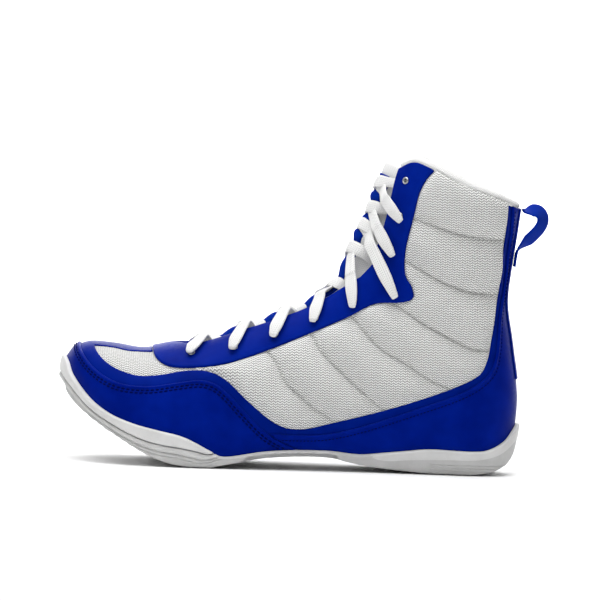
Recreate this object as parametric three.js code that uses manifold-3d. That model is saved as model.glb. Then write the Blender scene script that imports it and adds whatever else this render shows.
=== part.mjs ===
// A left boxing boot in millimetres. The toe points to -X, the outer (lateral) side faces -Y, +Z is up.
// One smooth foot form is lofted from stations that fan out from toe to collar. Every layer of the
// upper is the shell between two offsets of that form, cut to its pattern by outlines drawn in side view.
import * as THREE from 'three';
import { mergeVertices } from 'three/addons/utils/BufferGeometryUtils.js';
import Module from 'manifold-3d';

const wasm = await Module();
wasm.setup();

// ---------------------------------------------------------------- overall sizes
const soleLength = 291; // toe tip to back of heel
const collarHeight = 198; // ground to the highest point of the collar
const ballWidth = 106; // across the sole at the ball of the foot

// ---------------------------------------------------------------- layer thicknesses and clearances
const gap = 0.3; // between glued or sewn faces
const quarterThickness = 2.6; // knitted mesh on foam
const stiffenerThickness = 0.8; // toe puff and heel counter
const liningThickness = 0.8;
const underlayThickness = 0.8;
const overlayThickness = 1.0;
const eyestayThickness = 1.6;
const backstayThickness = 0.8;
const soleWall = 2.5; // side wall of the cupped sole
const boardThickness = 1.8;
const footbedThickness = 3.6;
const tongueThickness = 4.8;
const tonguePanelThickness = 0.8;
const bindingThickness = 1.1;
const laceWidth = 6;
const laceThickness = 1.0;
const laceRoom = 1.3; // free play of the lace under the eyestay, above and below
const eyeletHole = 2.4; // bore diameter
const eyeletWall = 0.4;
const eyeletFlange = 4.6; // flange diameter
const loopWidth = 14; // webbing of the heel pull loop
const loopThickness = 1.8;
const loopSwingRoom = 2.2; // free play between the backstay and the webbing
const backstayWidth = 18;

// Offsets from the form; 0 is the outer face of the quilted mesh.
const quarterInner = -quarterThickness;
const stiffenerOuter = quarterInner - gap;
const stiffenerInner = stiffenerOuter - stiffenerThickness;
const liningOuter = stiffenerInner - gap;
const liningInner = liningOuter - liningThickness;
const laceUnder = liningInner - laceRoom - laceThickness / 2;
const tongueOuter = laceUnder - laceRoom - laceThickness / 2;
const tongueInner = tongueOuter - tongueThickness;
const underlayInner = gap;
const underlayOuter = underlayInner + underlayThickness;
const overlayInner = underlayOuter + gap;
const overlayOuter = overlayInner + overlayThickness;
const backstayInner = overlayOuter + gap;
const backstayOuter = backstayInner + backstayThickness;
const eyestayInner = gap;
const eyestayOuter = eyestayInner + eyestayThickness;
const cupInner = overlayOuter + gap;
const cupOuter = cupInner + soleWall;
const flangeLift = 0.5; // under the flange, so that it clears the curve of the eyestay
const laceOver = eyestayOuter + flangeLift + eyeletWall + 3 * gap + laceThickness / 2;

// ---------------------------------------------------------------- the foot form
// The stations and all outlines are drawn on a form of these sizes and scaled to the overall sizes.
const formLength = 291;
const formHeight = 198;
const formWidth = 106;
const scaleX = soleLength / formLength;
const scaleY = ballWidth / formWidth;
const scaleZ = collarHeight / formHeight;

// top x, top z, bottom x, bottom z, half width, sideways shift, height share of the widest point, squareness
const stations = [
  [-143.5, 64.5, -142, 47, 15, 9, 0.5, 2.1],
  [-139, 70, -137, 34, 25, 8, 0.52, 2.4],
  [-131, 73, -127, 22, 34.5, 6, 0.58, 2.8],
  [-116, 72.5, -112, 11, 42.5, 3, 0.64, 3.4],
  [-98, 70.5, -97, 2, 46.5, 1, 0.68, 3.8],
  [-80, 74, -78, -4, 48, 0, 0.68, 3.8],
  [-60, 77, -58, -6, 47, -1, 0.68, 3.8],
  [-38, 85.5, -34, -4, 43.5, -1.5, 0.66, 3.6],
  [-14, 95, -8, 0, 39, -1, 0.64, 3.4],
  [8, 105.5, 20, 1, 36, 0, 0.62, 3.3],
  [24, 120, 52, -2, 34.5, 0.5, 0.6, 3.2],
  [32, 134, 88, -5, 34.5, 0, 0.58, 3.0],
  [36.5, 144, 120, -4, 34.5, 0, 0.55, 2.8],
  [40, 151, 132, 12, 34, 0, 0.52, 2.5],
  [43, 157, 136.5, 46, 33.5, 0, 0.5, 2.3],
  [45.5, 164, 132, 80, 34, 0, 0.5, 2.2],
  [47.5, 171, 127.5, 107, 35, 0, 0.5, 2.2],
  [50, 179, 129, 130, 36.5, 0, 0.5, 2.2],
  [54, 190, 132, 154, 38, 0, 0.5, 2.2],
  [60, 205, 135, 182, 39, 0, 0.5, 2.2],
];
const topRoundness = 2.2;
const around = 18;
const rings = stations.length - 1;

function station(u) {
  const i = Math.min(Math.max(Math.floor(u), 0), stations.length - 2);
  const t = u - i;
  const row = (k) => stations[Math.min(Math.max(k, 0), stations.length - 1)];
  return stations[i].map((_, c) => {
    const [a, b, d, e] = [row(i - 1)[c], row(i)[c], row(i + 1)[c], row(i + 2)[c]];
    return b + 0.5 * t * (d - a + t * (2 * a - 5 * b + 4 * d - e + t * (3 * (b - d) + e - a)));
  });
}

// Angle 0 is the top or front line, 90 degrees the lateral side, 180 degrees the bottom or back line.
function formPoint(u, angle) {
  const [tx, tz, bx, bz, half, shift, belly, squareness] = station(u);
  const along = Math.cos(angle);
  const side = Math.sin(angle);
  const power = 2 / (along >= 0 ? topRoundness : squareness);
  const reach = Math.abs(along) ** power;
  const t = along >= 0 ? belly * (1 - reach) : belly + (1 - belly) * reach;
  const y = shift - Math.sign(side) * half * Math.abs(side) ** power;
  return new THREE.Vector3((tx + (bx - tx) * t) * scaleX, y * scaleY, (tz + (bz - tz) * t) * scaleZ);
}

function formNormal(u, angle) {
  const step = 0.04;
  const du = formPoint(u + step, angle).sub(formPoint(u - step, angle));
  const da = formPoint(u, angle + step).sub(formPoint(u, angle - step));
  return da.cross(du).normalize();
}

// The grid of the faceted form, and places between its points, at any offset.
const lastStation = stations.length - 1;
const grid = Array.from({ length: rings + 1 }, (_, j) => Array.from({ length: around }, (_, i) => {
  const u = (lastStation * j) / rings;
  const angle = (2 * Math.PI * i) / around;
  return { point: formPoint(u, angle), normal: formNormal(u, angle) };
}));

function surface(u, angle, offset) {
  const a = Math.min(Math.max((u / lastStation) * rings, 0), rings - 1e-6);
  const b = ((angle / (2 * Math.PI)) * around + 8 * around) % around;
  const [j, i] = [Math.floor(a), Math.floor(b)];
  const corner = (dj, di) => grid[j + dj][(i + di) % around];
  const mix = (key) => corner(0, 0)[key].clone().lerp(corner(0, 1)[key], b - i)
    .lerp(corner(1, 0)[key].clone().lerp(corner(1, 1)[key], b - i), a - j);
  const normal = mix('normal').normalize();
  return { point: mix('point').addScaledVector(normal, offset), normal };
}

// ---------------------------------------------------------------- solids
function solid(vertices, triangles) {
  const mesh = new wasm.Mesh({
    numProp: 3,
    vertProperties: new Float32Array(vertices.flatMap((v) => [v.x, v.y, v.z])),
    triVerts: new Uint32Array(triangles.flat()),
  });
  return new wasm.Manifold(mesh);
}

function fromGeometry(geometry) {
  geometry.deleteAttribute('normal');
  geometry.deleteAttribute('uv');
  const merged = mergeVertices(geometry, 1e-4);
  return new wasm.Manifold(new wasm.Mesh({
    numProp: 3,
    vertProperties: new Float32Array(merged.attributes.position.array),
    triVerts: new Uint32Array(merged.index.array),
  }));
}

const forms = new Map();
function form(offset) {
  if (forms.has(offset)) return forms.get(offset);
  const vertices = grid.flatMap((ring) => ring.map((g) => g.point.clone().addScaledVector(g.normal, offset)));
  const triangles = [];
  for (let j = 0; j < rings; j += 1) {
    for (let i = 0; i < around; i += 1) {
      const a = j * around + i;
      const b = j * around + ((i + 1) % around);
      triangles.push([a, b, a + around], [b, b + around, a + around]);
    }
  }
  const middle = (ring) => ring.reduce((sum, g) => sum.add(g.point), new THREE.Vector3())
    .divideScalar(around);
  const toe = vertices.push(middle(grid[0]).add(new THREE.Vector3(-2.2 - offset, 0, 0))) - 1;
  const top = vertices.push(middle(grid[rings]).add(new THREE.Vector3(0, 0, offset))) - 1;
  for (let i = 0; i < around; i += 1) {
    const next = (i + 1) % around;
    triangles.push([toe, next, i], [top, rings * around + i, rings * around + next]);
  }
  forms.set(offset, solid(vertices, triangles));
  return forms.get(offset);
}

const shell = (inner, outer) => form(outer).subtract(form(inner));

// The angle on the form at which the surface is this far to the side of its top line.
function angleAt(u, halfWidth) {
  return Math.asin(Math.min(halfWidth / station(u)[4], 1) ** (topRoundness / 2));
}

// A strip laid along the top line of the form between two offsets: rows of station and half width.
// Its middle may rise above the offsets, by an amount that depends on the place.
function strip(rows, low, high, rise = () => 0, across = 6) {
  const place = (u, angle, offset) => surface(u, angle, offset + rise(u, angle));
  const vertices = rows.flatMap(([u, halfWidth]) => {
    const angle = angleAt(u, halfWidth);
    const upper = Array.from({ length: across + 1 }, (_, i) => place(u, angle * ((2 * i) / across - 1), high));
    const lower = Array.from({ length: across + 1 }, (_, i) => place(u, angle * (1 - (2 * i) / across), low));
    return [...upper, ...lower].map(({ point }) => point);
  });
  const ring = 2 * (across + 1);
  const triangles = [];
  for (let j = 0; j < rows.length - 1; j += 1) {
    for (let i = 0; i < ring; i += 1) {
      const [a, b] = [j * ring + i, j * ring + ((i + 1) % ring)];
      triangles.push([a, b, a + ring], [b, b + ring, a + ring]);
    }
  }
  const end = (rows.length - 1) * ring;
  for (let i = 0; i < across; i += 1) {
    const [a, b, c, d] = [i, i + 1, ring - 2 - i, ring - 1 - i];
    triangles.push([a, d, b], [b, d, c], [end + a, end + b, end + d], [end + b, end + c, end + d]);
  }
  return solid(vertices, triangles);
}

// ---------------------------------------------------------------- outlines in side view
const curve = (points, steps) => new THREE.SplineCurve(points.map(([x, z]) => new THREE.Vector2(x, z)))
  .getSpacedPoints(steps).map((p) => [p.x, p.y]);

// A line moved sideways by a distance, to the left of its direction when positive.
function moved(line, distance) {
  return line.map(([x, z], i) => {
    const [ax, az] = line[Math.max(i - 1, 0)];
    const [bx, bz] = line[Math.min(i + 1, line.length - 1)];
    const length = Math.hypot(bx - ax, bz - az);
    return [x - (distance * (bz - az)) / length, z + (distance * (bx - ax)) / length];
  });
}

const far = 400;
function slab(outline, low = -far, high = far) {
  const shape = new THREE.Shape(outline.map(([x, z]) => new THREE.Vector2(x * scaleX, z * scaleZ)));
  const geometry = new THREE.ExtrudeGeometry(shape, { depth: high - low, bevelEnabled: false });
  return fromGeometry(geometry.rotateX(Math.PI / 2).translate(0, high, 0));
}

// The half spaces on either side of a line, cut straight through the boot.
const above = (line) => slab([...line, [far, line.at(-1)[1]], [far, far], [-far, far], [-far, line[0][1]]]);
const below = (line) => slab([...line, [far, line.at(-1)[1]], [far, -far], [-far, -far],
  [-far, line[0][1]]].reverse());
const leftOf = (line) => slab([...line, [-far, line.at(-1)[1]], [-far, line[0][1]]]);
const rightOf = (line) => slab([...line, [far, line.at(-1)[1]], [far, line[0][1]]]);
const ahead = (line) => slab([...line, [line.at(-1)[0], far], [-far, far], [-far, line[0][1]]]);

// Ground side of the outsole, seen from the side.
const soleBottom = [
  ...curve([[-170, 86], [-152, 55], [-144, 40], [-128, 27], [-108, 15], [-92, 6.4], [-78, 1.6], [-66, 0]], 14),
  ...curve([[-52, 0], [-40, 2.6], [-20, 6.3], [4, 8], [22, 7.6], [36, 5], [56, 2.2], [76, 0.6], [90, 0]], 12),
  ...curve([[112, 0], [124, 2], [134, 8], [141, 20], [150, 42]], 8),
];
// Footbed level of the cupped sole.
const floor = curve([[-170, 92], [-150, 60], [-138, 45], [-124, 32], [-108, 21.5], [-92, 12], [-76, 6.5],
  [-58, 5], [-42, 6], [-20, 9.5], [0, 11], [22, 11], [42, 9], [64, 7.5], [90, 7], [160, 7]], 22);
// Parting line between the ridged outsole and the smooth foxing band above it, at the toe and at the heel.
const toeParting = [[-170, 80], [-152, 56.5], [-143, 46], [-130, 33.5], [-114, 24], [-98, 17], [-84, 13.5],
  [-72, 12], [-62, 10.2], [-54, 8.6], [-47, 9.5]];
const heelParting = [[44, 13], [49, 9], [58, 7.4], [74, 8.6], [96, 9.4], [114, 9.6], [128, 13], [137, 20],
  [146, 31]];
const soleTop = [[-170, 90], [-149, 66], [-143, 53.5], [-131, 40], [-118, 31.5], [-102, 26], [-86, 22.5],
  [-72, 19.6], [-62, 15.6], [-52, 10.4], [-43, 6.8], [-20, 10.4], [0, 11.8], [22, 11.8], [40, 10.2],
  [56, 12], [70, 13.8], [84, 15.4], [100, 15], [112, 14.8], [122, 16], [132, 21], [138, 28], [150, 46]];

const collarTop = curve([[30, 190], [55, 192], [67, 197.6], [76, 196.2], [88, 190.6], [104, 183], [122, 176.6],
  [136, 171], [170, 160]], 14);
const collarLow = curve([[30, 187], [55, 189], [67, 194.8], [76, 193.4], [88, 187.5], [104, 179.4],
  [122, 173], [136, 167.4], [170, 156]], 14);

const belowCollar = (drop) => below(moved(collarTop, -drop));
const belowBinding = below(moved(collarLow, -gap));
const aboveFloor = (lift) => above(moved(floor, lift));
const sideways = (low, high) => slab([[-far, -far], [far, -far], [far, far], [-far, far]], low, high);
const lateral = sideways(-far, -gap / 2);
const medial = sideways(gap / 2, far);

// Lower edge of the mesh, from the tip of the toe window to the collar at the back.
const meshEdge = curve([[-131, 84], [-128, 71], [-118, 61.5], [-102, 56], [-88, 56.5], [-70, 60], [-56, 60],
  [-44, 54.5], [-30, 42], [-12, 28.5], [4, 25.8], [26, 31], [56, 39.5], [90, 51.5], [112, 62], [118.5, 72],
  [121, 86], [123.5, 106], [125.5, 122], [126.5, 142], [128, 158], [128, 190]], 32);
// Upper edge of the mesh window at the toe, below the centre strip.
const stripEdge = curve([[-150, 71.2], [-128, 71.4], [-116, 70.6], [-106, 69], [-92, 69.2], [-84, 72]], 12);
const mudguardEdge = curve([[-139, 84], [-137, 70], [-127, 58.5], [-112, 51], [-94, 49.6], [-76, 52.5],
  [-62, 54.6], [-52, 53], [-43, 47], [-30, 34], [-16, 21.5], [2, 12.5], [14, 6]], 22);
const heelEdge = curve([[-14, 22.6], [0, 22], [20, 23.2], [44, 29.5], [74, 40.5], [100, 50.6], [114, 58.6],
  [121.5, 67], [124.5, 80], [125.5, 100], [128, 118], [129.5, 140], [131, 158], [131, 190]], 24);
// Half width of the throat, by station, from its toe end to above the collar.
const throatWidths = [[5.2, 5], [5.4, 10], [6, 12.5], [7, 13.8], [8, 14], [9, 13.5], [10, 16.5], [11, 20.5],
  [12, 21.3], [13, 19.5], [14, 19], [15, 19.8], [16, 21], [17, 21], [18, 20], [19, 20]];
function throatAngle(u) {
  const i = Math.max(throatWidths.findIndex(([row]) => row >= u), 1);
  const [[u0, w0], [u1, w1]] = [throatWidths[i - 1], throatWidths[i]];
  return angleAt(u, w0 + ((w1 - w0) * (u - u0)) / (u1 - u0));
}

// The tongue and the laces on it bulge forward through the throat, and more so in the shaft.
const instepBulge = 4;
const shaftBulge = 8;
const bulgeWidth = 0.95; // share of the throat that bulges
function bulge(u, angle) {
  const share = Math.min(Math.abs(angle) / (bulgeWidth * throatAngle(u)), 1);
  const { smoothstep, lerp } = THREE.MathUtils;
  const height = lerp(instepBulge, shaftBulge, smoothstep(u, 9, 12)) * smoothstep(u, 5.3, 6.6);
  return height * (1 + Math.cos(Math.PI * share)) / 2;
}
const eyestayEdge = curve([[-96, 90], [-92, 72], [-87, 65.5], [-78, 62.4], [-62, 62.8], [-44, 66], [-20, 74.6],
  [4, 85], [28, 96], [46, 105.6], [62, 107], [70, 110], [69, 117], [64.5, 125], [64, 140], [68, 160], [72, 178],
  [80, 190], [92, 197], [96, 230]], 28);
const vampSeam = [[-86, far], [-72, 74], [-62, 58], [-52, 40], [-44, -40]];
const puffEdge = [[-96, 110], [-104, 70], [-110, 40], [-104, -40]];
const counterEdge = [[62, -40], [66, 24], [80, 44], [96, 62], [108, 84], [116, 104], [160, 112]];

// ---------------------------------------------------------------- materials
const paint = (hex, roughness, metalness = 0) => ({ color: hex, roughness, metalness });
const whiteMesh = paint(0xdfe1e3, 0.95);
const whiteLining = paint(0xe4e4e2, 0.9);
const blueSynthetic = paint(0x0a2a8c, 0.42);
const blueTextile = paint(0x1c3f9e, 0.7);
const whiteRubber = paint(0xd6d7d6, 0.6);
const whiteTextile = paint(0xf0efeb, 0.85);
const boardPulp = paint(0xb59b74, 0.9);
const footbedFoam = paint(0x9aa0a6, 0.95);
const stiffenerSheet = paint(0xcfc3a6, 0.8);
const eyeletMetal = paint(0xc9ccd0, 0.28, 1);
const agletPlastic = paint(0xe8ecf0, 0.25);

const boot = new THREE.Group();

function addSolid(name, body, finish) {
  const { vertProperties, triVerts } = body.getMesh();
  const geometry = new THREE.BufferGeometry();
  geometry.setAttribute('position', new THREE.BufferAttribute(new Float32Array(vertProperties), 3));
  geometry.setIndex(new THREE.BufferAttribute(new Uint32Array(triVerts), 1));
  geometry.computeVertexNormals();
  const mesh = new THREE.Mesh(geometry, new THREE.MeshStandardMaterial(finish));
  mesh.name = name;
  boot.add(mesh);
}

// ---------------------------------------------------------------- eyelets: places and drilled holes
// Side view places of the nine eyelets of a row, from the toe end up; both rows share them.
const eyeletPlaces = [[-67, 69], [-40, 74], [-15, 83], [10, 94], [34, 107], [57, 115.6], [56, 140], [61, 161],
  [64, 183]];

// Finds the place on the lateral face of the form that lies at x, z in side view.
function placeOnForm(x, z) {
  let best = { u: lastStation / 2, angle: 1, miss: Infinity };
  for (let level = 0, span = 1; level < 5; level += 1, span /= 6) {
    const { u, angle } = best;
    for (let i = -12; i <= 12; i += 1) {
      for (let k = -12; k <= 12; k += 1) {
        const tryU = Math.min(Math.max(u + ((i * lastStation) / 24) * span, 0), lastStation);
        const tryAngle = Math.min(Math.max(angle + k * 0.08 * span, 0.02), 2);
        const { point } = surface(tryU, tryAngle, 0);
        const miss = Math.hypot(point.x - x * scaleX, point.z - z * scaleZ);
        if (miss < best.miss) best = { u: tryU, angle: tryAngle, miss };
      }
    }
  }
  return best;
}

const lateralEyelets = eyeletPlaces.map(([x, z]) => placeOnForm(x, z));
const eyeletRows = {
  lateral: lateralEyelets,
  medial: lateralEyelets.map(({ u, angle }) => ({ u, angle: -angle })),
};

function alongNormal(geometry, { u, angle }) {
  const { point, normal } = surface(u, angle, 0);
  const turn = new THREE.Quaternion().setFromUnitVectors(new THREE.Vector3(0, 1, 0), normal);
  return geometry.applyQuaternion(turn).translate(point.x, point.y, point.z);
}

const eyeletBore = eyeletHole / 2;
const eyeletBarrel = eyeletBore + eyeletWall;
const eyeletSides = 8;
const drillDepth = 9;
function drill(side) {
  const holes = eyeletRows[side].map((place) => fromGeometry(alongNormal(
    new THREE.CylinderGeometry(eyeletBarrel + gap, eyeletBarrel + gap, 2 * drillDepth, eyeletSides),
    place,
  )));
  return holes.reduce((all, hole) => all.add(hole));
}
const holes = { lateral: drill('lateral'), medial: drill('medial') };
const allHoles = holes.lateral.add(holes.medial);

// ---------------------------------------------------------------- sole
const cup = form(cupInner).intersect(aboveFloor(0));
const soleBlank = form(cupOuter).intersect(above(soleBottom)).intersect(below(soleTop)).subtract(cup);
const bandZone = (line, room) => slab([...moved(line, -room), [line.at(-1)[0] + room, far],
  [line[0][0] - room, far]]);
const foxingRoom = bandZone(toeParting, gap).add(bandZone(heelParting, gap));
addSolid('outsole', soleBlank.subtract(foxingRoom), whiteRubber);
addSolid('toe_foxing', soleBlank.intersect(bandZone(toeParting, 0)), whiteRubber);
addSolid('heel_foxing', soleBlank.intersect(bandZone(heelParting, 0)), whiteRubber);

// ---------------------------------------------------------------- inside the boot
const boardTop = gap + boardThickness;
const footbedBottom = boardTop + gap;
const footbedTop = footbedBottom + footbedThickness;
addSolid('insole_board', form(liningInner - gap).intersect(aboveFloor(gap))
  .intersect(below(moved(floor, boardTop))), boardPulp);
addSolid('footbed', form(liningInner - 2 * gap).intersect(aboveFloor(footbedBottom))
  .intersect(below(moved(floor, footbedTop))), footbedFoam);

const underBinding = belowCollar(bindingThickness + gap);
const throat = strip(throatWidths, tongueInner, 4 * overlayOuter);
const upperZone = aboveFloor(gap).intersect(underBinding).subtract(throat);
addSolid('lining', shell(liningInner, liningOuter).intersect(upperZone).subtract(allHoles), whiteLining);
const stiffener = shell(stiffenerInner, stiffenerOuter).intersect(aboveFloor(gap));
addSolid('toe_puff', stiffener.intersect(leftOf(puffEdge)), stiffenerSheet);
addSolid('heel_counter', stiffener.intersect(rightOf(counterEdge)), stiffenerSheet);

// ---------------------------------------------------------------- quilted mesh
const meshShell = shell(quarterInner, 0).intersect(upperZone).subtract(allHoles);
const behindSeam = rightOf(vampSeam.map(([x, z]) => [x + gap, z]));
addSolid('vamp_mesh', meshShell.intersect(leftOf(vampSeam)), whiteMesh);
addSolid('quarter_lateral', meshShell.intersect(behindSeam).intersect(lateral), whiteMesh);
addSolid('quarter_medial', meshShell.intersect(behindSeam).intersect(medial), whiteMesh);

// ---------------------------------------------------------------- blue overlays
const eyestayZone = ahead(eyestayEdge);
const eyestayRoom = ahead(moved(eyestayEdge, -gap));
const underlay = shell(underlayInner, underlayOuter).intersect(aboveFloor(gap)).intersect(belowBinding);
const underlaySeamX = -6; // where the two underlays meet
const underlaySeam = [[underlaySeamX, far], [underlaySeamX, -far]];
const toeStrip = above(stripEdge).intersect(slab([[-150, -far], [-84, -far], [-84, far], [-150, far]]));
const underlayZone = below(meshEdge).add(toeStrip).subtract(eyestayRoom);
addSolid('mudguard_underlay', underlay.intersect(underlayZone).intersect(leftOf(underlaySeam)), blueSynthetic);
addSolid('heel_underlay', underlay.intersect(underlayZone)
  .intersect(rightOf(underlaySeam.map(([x, z]) => [x + gap, z]))), blueSynthetic);

const overlay = shell(overlayInner, overlayOuter).intersect(aboveFloor(gap)).intersect(belowBinding);
addSolid('mudguard', overlay.intersect(below(mudguardEdge)), blueSynthetic);
addSolid('heel_overlay', overlay.intersect(below(heelEdge)).subtract(below(moved(mudguardEdge, gap))),
  blueSynthetic);
const backstayOutline = [[100, 60], [170, 60], [170, 230], [100, 230]];
addSolid('backstay', shell(backstayInner, backstayOuter).intersect(belowBinding)
  .intersect(slab(backstayOutline, -backstayWidth / 2, backstayWidth / 2)), blueSynthetic);

const eyestay = shell(eyestayInner, eyestayOuter).intersect(eyestayZone).intersect(belowBinding)
  .subtract(throat);
addSolid('eyestay_lateral', eyestay.intersect(lateral).subtract(holes.lateral), blueSynthetic);
addSolid('eyestay_medial', eyestay.intersect(medial).subtract(holes.medial), blueSynthetic);

// ---------------------------------------------------------------- collar binding
const bindingOuter = gap + bindingThickness;
const bindingInner = liningInner - gap - bindingThickness;
const bindingChannel = shell(liningInner - gap, gap).intersect(belowCollar(bindingThickness));
addSolid('collar_binding', shell(bindingInner, bindingOuter).intersect(belowCollar(0))
  .intersect(above(collarLow)).subtract(bindingChannel).subtract(throat), whiteTextile);

// ---------------------------------------------------------------- tongue
const tongueSpread = 9; // how far the tongue reaches under either eyestay
const tongueTip = [[17.9, 28], [18.3, 23], [18.55, 14]]; // its rounded upper end, by station
const tongueWidths = [[5.36, 9], ...throatWidths.slice(2, -2).map(([u, half]) => [u, half + tongueSpread]),
  ...tongueTip];
addSolid('tongue', strip(tongueWidths, tongueInner, tongueOuter, bulge, 12), whiteTextile);
const panelWidths = [...throatWidths.slice(2, 13).map(([u]) => [u, 4 + (u - 6) / 4]), [17, 6], [17.8, 5]];
const panelBottom = tongueOuter + 3 * gap; // the instep's saddle shape needs the extra room
addSolid('tongue_panel', strip(panelWidths, panelBottom, panelBottom + tonguePanelThickness, bulge), blueTextile);

// ---------------------------------------------------------------- eyelets
function eyeletGeometry() {
  const low = quarterInner - 2 * gap;
  const under = eyestayOuter + flangeLift;
  const top = under + eyeletWall;
  const profile = [[eyeletBore, low], [eyeletBarrel, low], [eyeletBarrel, under], [eyeletFlange / 2, under],
    [eyeletFlange / 2, top], [eyeletBore, top], [eyeletBore, low]];
  return new THREE.LatheGeometry(profile.map(([r, h]) => new THREE.Vector2(r, h)), eyeletSides);
}
for (const [side, places] of Object.entries(eyeletRows)) {
  places.forEach((place, i) => {
    addSolid(`eyelet_${side}_${i + 1}`, fromGeometry(alongNormal(eyeletGeometry(), place)), eyeletMetal);
  });
}

// ---------------------------------------------------------------- heel pull loop
// The webbing stands off the heel as a D and turns a little to either side about its sewn line.
// Its outline and its two sewn ends are given by distance out from the backstay and height.
function heelX(height, offset) {
  const backLine = Array.from({ length: 121 }, (_, i) => surface(lastStation - i * 0.04, Math.PI, offset).point);
  const i = backLine.findIndex(({ z }) => z <= height * scaleZ);
  const [upper, lower] = [backLine[i - 1], backLine[i]];
  return lower.x + ((upper.x - lower.x) * (height * scaleZ - lower.z)) / (upper.z - lower.z);
}
const outFromHeel = (points) => points.map(([out, height]) => [
  (heelX(height, backstayOuter) + out) / scaleX, height]);
const webbing = (outline) => slab(outline, -loopWidth / 2, loopWidth / 2);

const [sewnTop, loopTop, loopFoot, sewnFoot] = [171.4, 167.2, 143.4, 131]; // heights along the back
const loopOuter = curve(outFromHeel([[loopSwingRoom - gap, loopTop], [6.1, 167.8], [10.6, 166.8], [13.9, 163.6],
  [14.7, 159.6], [13.2, 155.4], [9.5, 150.6], [6, 146.6], [loopSwingRoom + loopThickness, loopFoot]]), 20);
const loopInner = moved(loopOuter, -loopThickness);
addSolid('pull_loop', webbing([...loopOuter, ...loopInner.reverse()]), blueTextile);

function sewnEnd(name, low, high) {
  const face = [low, (low + high) / 2, high].map((height) => [gap, height]);
  const back = face.map(([out, height]) => [out + loopThickness, height]).reverse();
  addSolid(name, webbing(outFromHeel([...face, ...back])), blueTextile);
}
sewnEnd('pull_loop_upper_end', loopTop + 2 * gap, sewnTop);
sewnEnd('pull_loop_lower_end', sewnFoot, loopFoot - gap);

// ---------------------------------------------------------------- lace
// One flat lace, criss-crossed. From each eyelet it comes out on top, crosses the throat and dives under
// the other eyestay to the next eyelet. Straps that start on the lateral side pass below the others.
const foldedWidth = 1.5; // of the lace where it is gathered in an eyelet
const foldedThickness = 1.2;
const crossingReach = 1.05 * laceWidth; // half the length of a strap that lies on or under another strap
const crossingLift = 2.6; // of the lower strap above the level of the lace under the eyestays
const lowCrossing = laceUnder + crossingLift;
const highCrossing = lowCrossing + laceThickness + 3 * gap;

function laceSpot(place, offset, folded = false) {
  const { point, normal } = surface(place.u, place.angle, offset + bulge(place.u, place.angle));
  return { point, normal, width: folded ? foldedWidth : laceWidth, folded };
}

const between = (a, b, f) => ({ u: a.u + (b.u - a.u) * f, angle: a.angle + (b.angle - a.angle) * f });

function throughEyelet(place) {
  return [laceUnder, stiffenerInner, eyestayOuter + flangeLift, laceOver + gap]
    .map((d) => laceSpot(place, d, true));
}

function strap(from, to, crossing) {
  const shares = Array.from({ length: 101 }, (_, i) => i / 100);
  const open = shares.filter((f) => {
    const { u, angle } = between(from, to, f);
    return Math.abs(angle) < throatAngle(u);
  });
  const length = surface(from.u, from.angle, 0).point.distanceTo(surface(to.u, to.angle, 0).point);
  const clear = laceWidth / 2 / length; // the strap clears the edge of either eyestay by half its width
  const reach = crossingReach / length;
  const [leave, arrive] = [open[0] + clear, open.at(-1) - clear];
  const [start, end] = [0.08, 0.92]; // the flat lace begins and ends this far along the strap
  const profile = [[start, laceOver], [(start + leave) / 2, laceOver], [leave, laceOver],
    [0.5 - reach, crossing], [0.5, crossing], [0.5 + reach, crossing],
    [(0.5 + reach + arrive) / 2, 0.65 * crossing + 0.35 * laceUnder],
    [arrive, laceUnder], [arrive + clear, laceUnder], [end, laceUnder]];
  return profile.map(([f, d]) => laceSpot(between(from, to, f), d));
}

function halfLace(startSide) {
  const sides = startSide === 'lateral' ? ['lateral', 'medial'] : ['medial', 'lateral'];
  const last = eyeletPlaces.length - 1;
  const spots = [];
  for (let row = 0; row < last; row += 1) {
    const side = sides[row % 2];
    const other = sides[(row + 1) % 2];
    const crossing = side === 'lateral' ? lowCrossing : highCrossing;
    spots.push(...throughEyelet(eyeletRows[side][row]));
    const straps = strap(eyeletRows[side][row], eyeletRows[other][row + 1], crossing);
    spots.push(...straps);
  }
  return spots;
}

const tailLean = 0.4; // the tail leaves the lining by this much from spot to spot

// After the last strap a tail runs down inside the shaft, against the lining.
function tail(side) {
  const sign = side === 'lateral' ? 1 : -1;
  return [[17.1, 1.12], [16.7, 1.24], [16.2, 1.34], [15.6, 1.42], [15, 1.48], [14.4, 1.52], [13.8, 1.55],
    [13.2, 1.57]].map(([u, angle], i) => laceSpot({ u, angle: sign * angle }, laceUnder - tailLean * i));
}

const firstHalf = halfLace('lateral'); // ends under the lateral side
const secondHalf = halfLace('medial');
const bar = [[0.12, laceUnder], [0.3, laceUnder], [0.42, lowCrossing], [0.58, lowCrossing], [0.7, laceUnder],
  [0.88, laceUnder]].map(([f, d]) => laceSpot(between(eyeletRows.medial[0], eyeletRows.lateral[0], f), d));
const laceSpots = [...tail('medial').reverse(), ...secondHalf.reverse(), ...bar, ...firstHalf, ...tail('lateral')];

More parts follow.
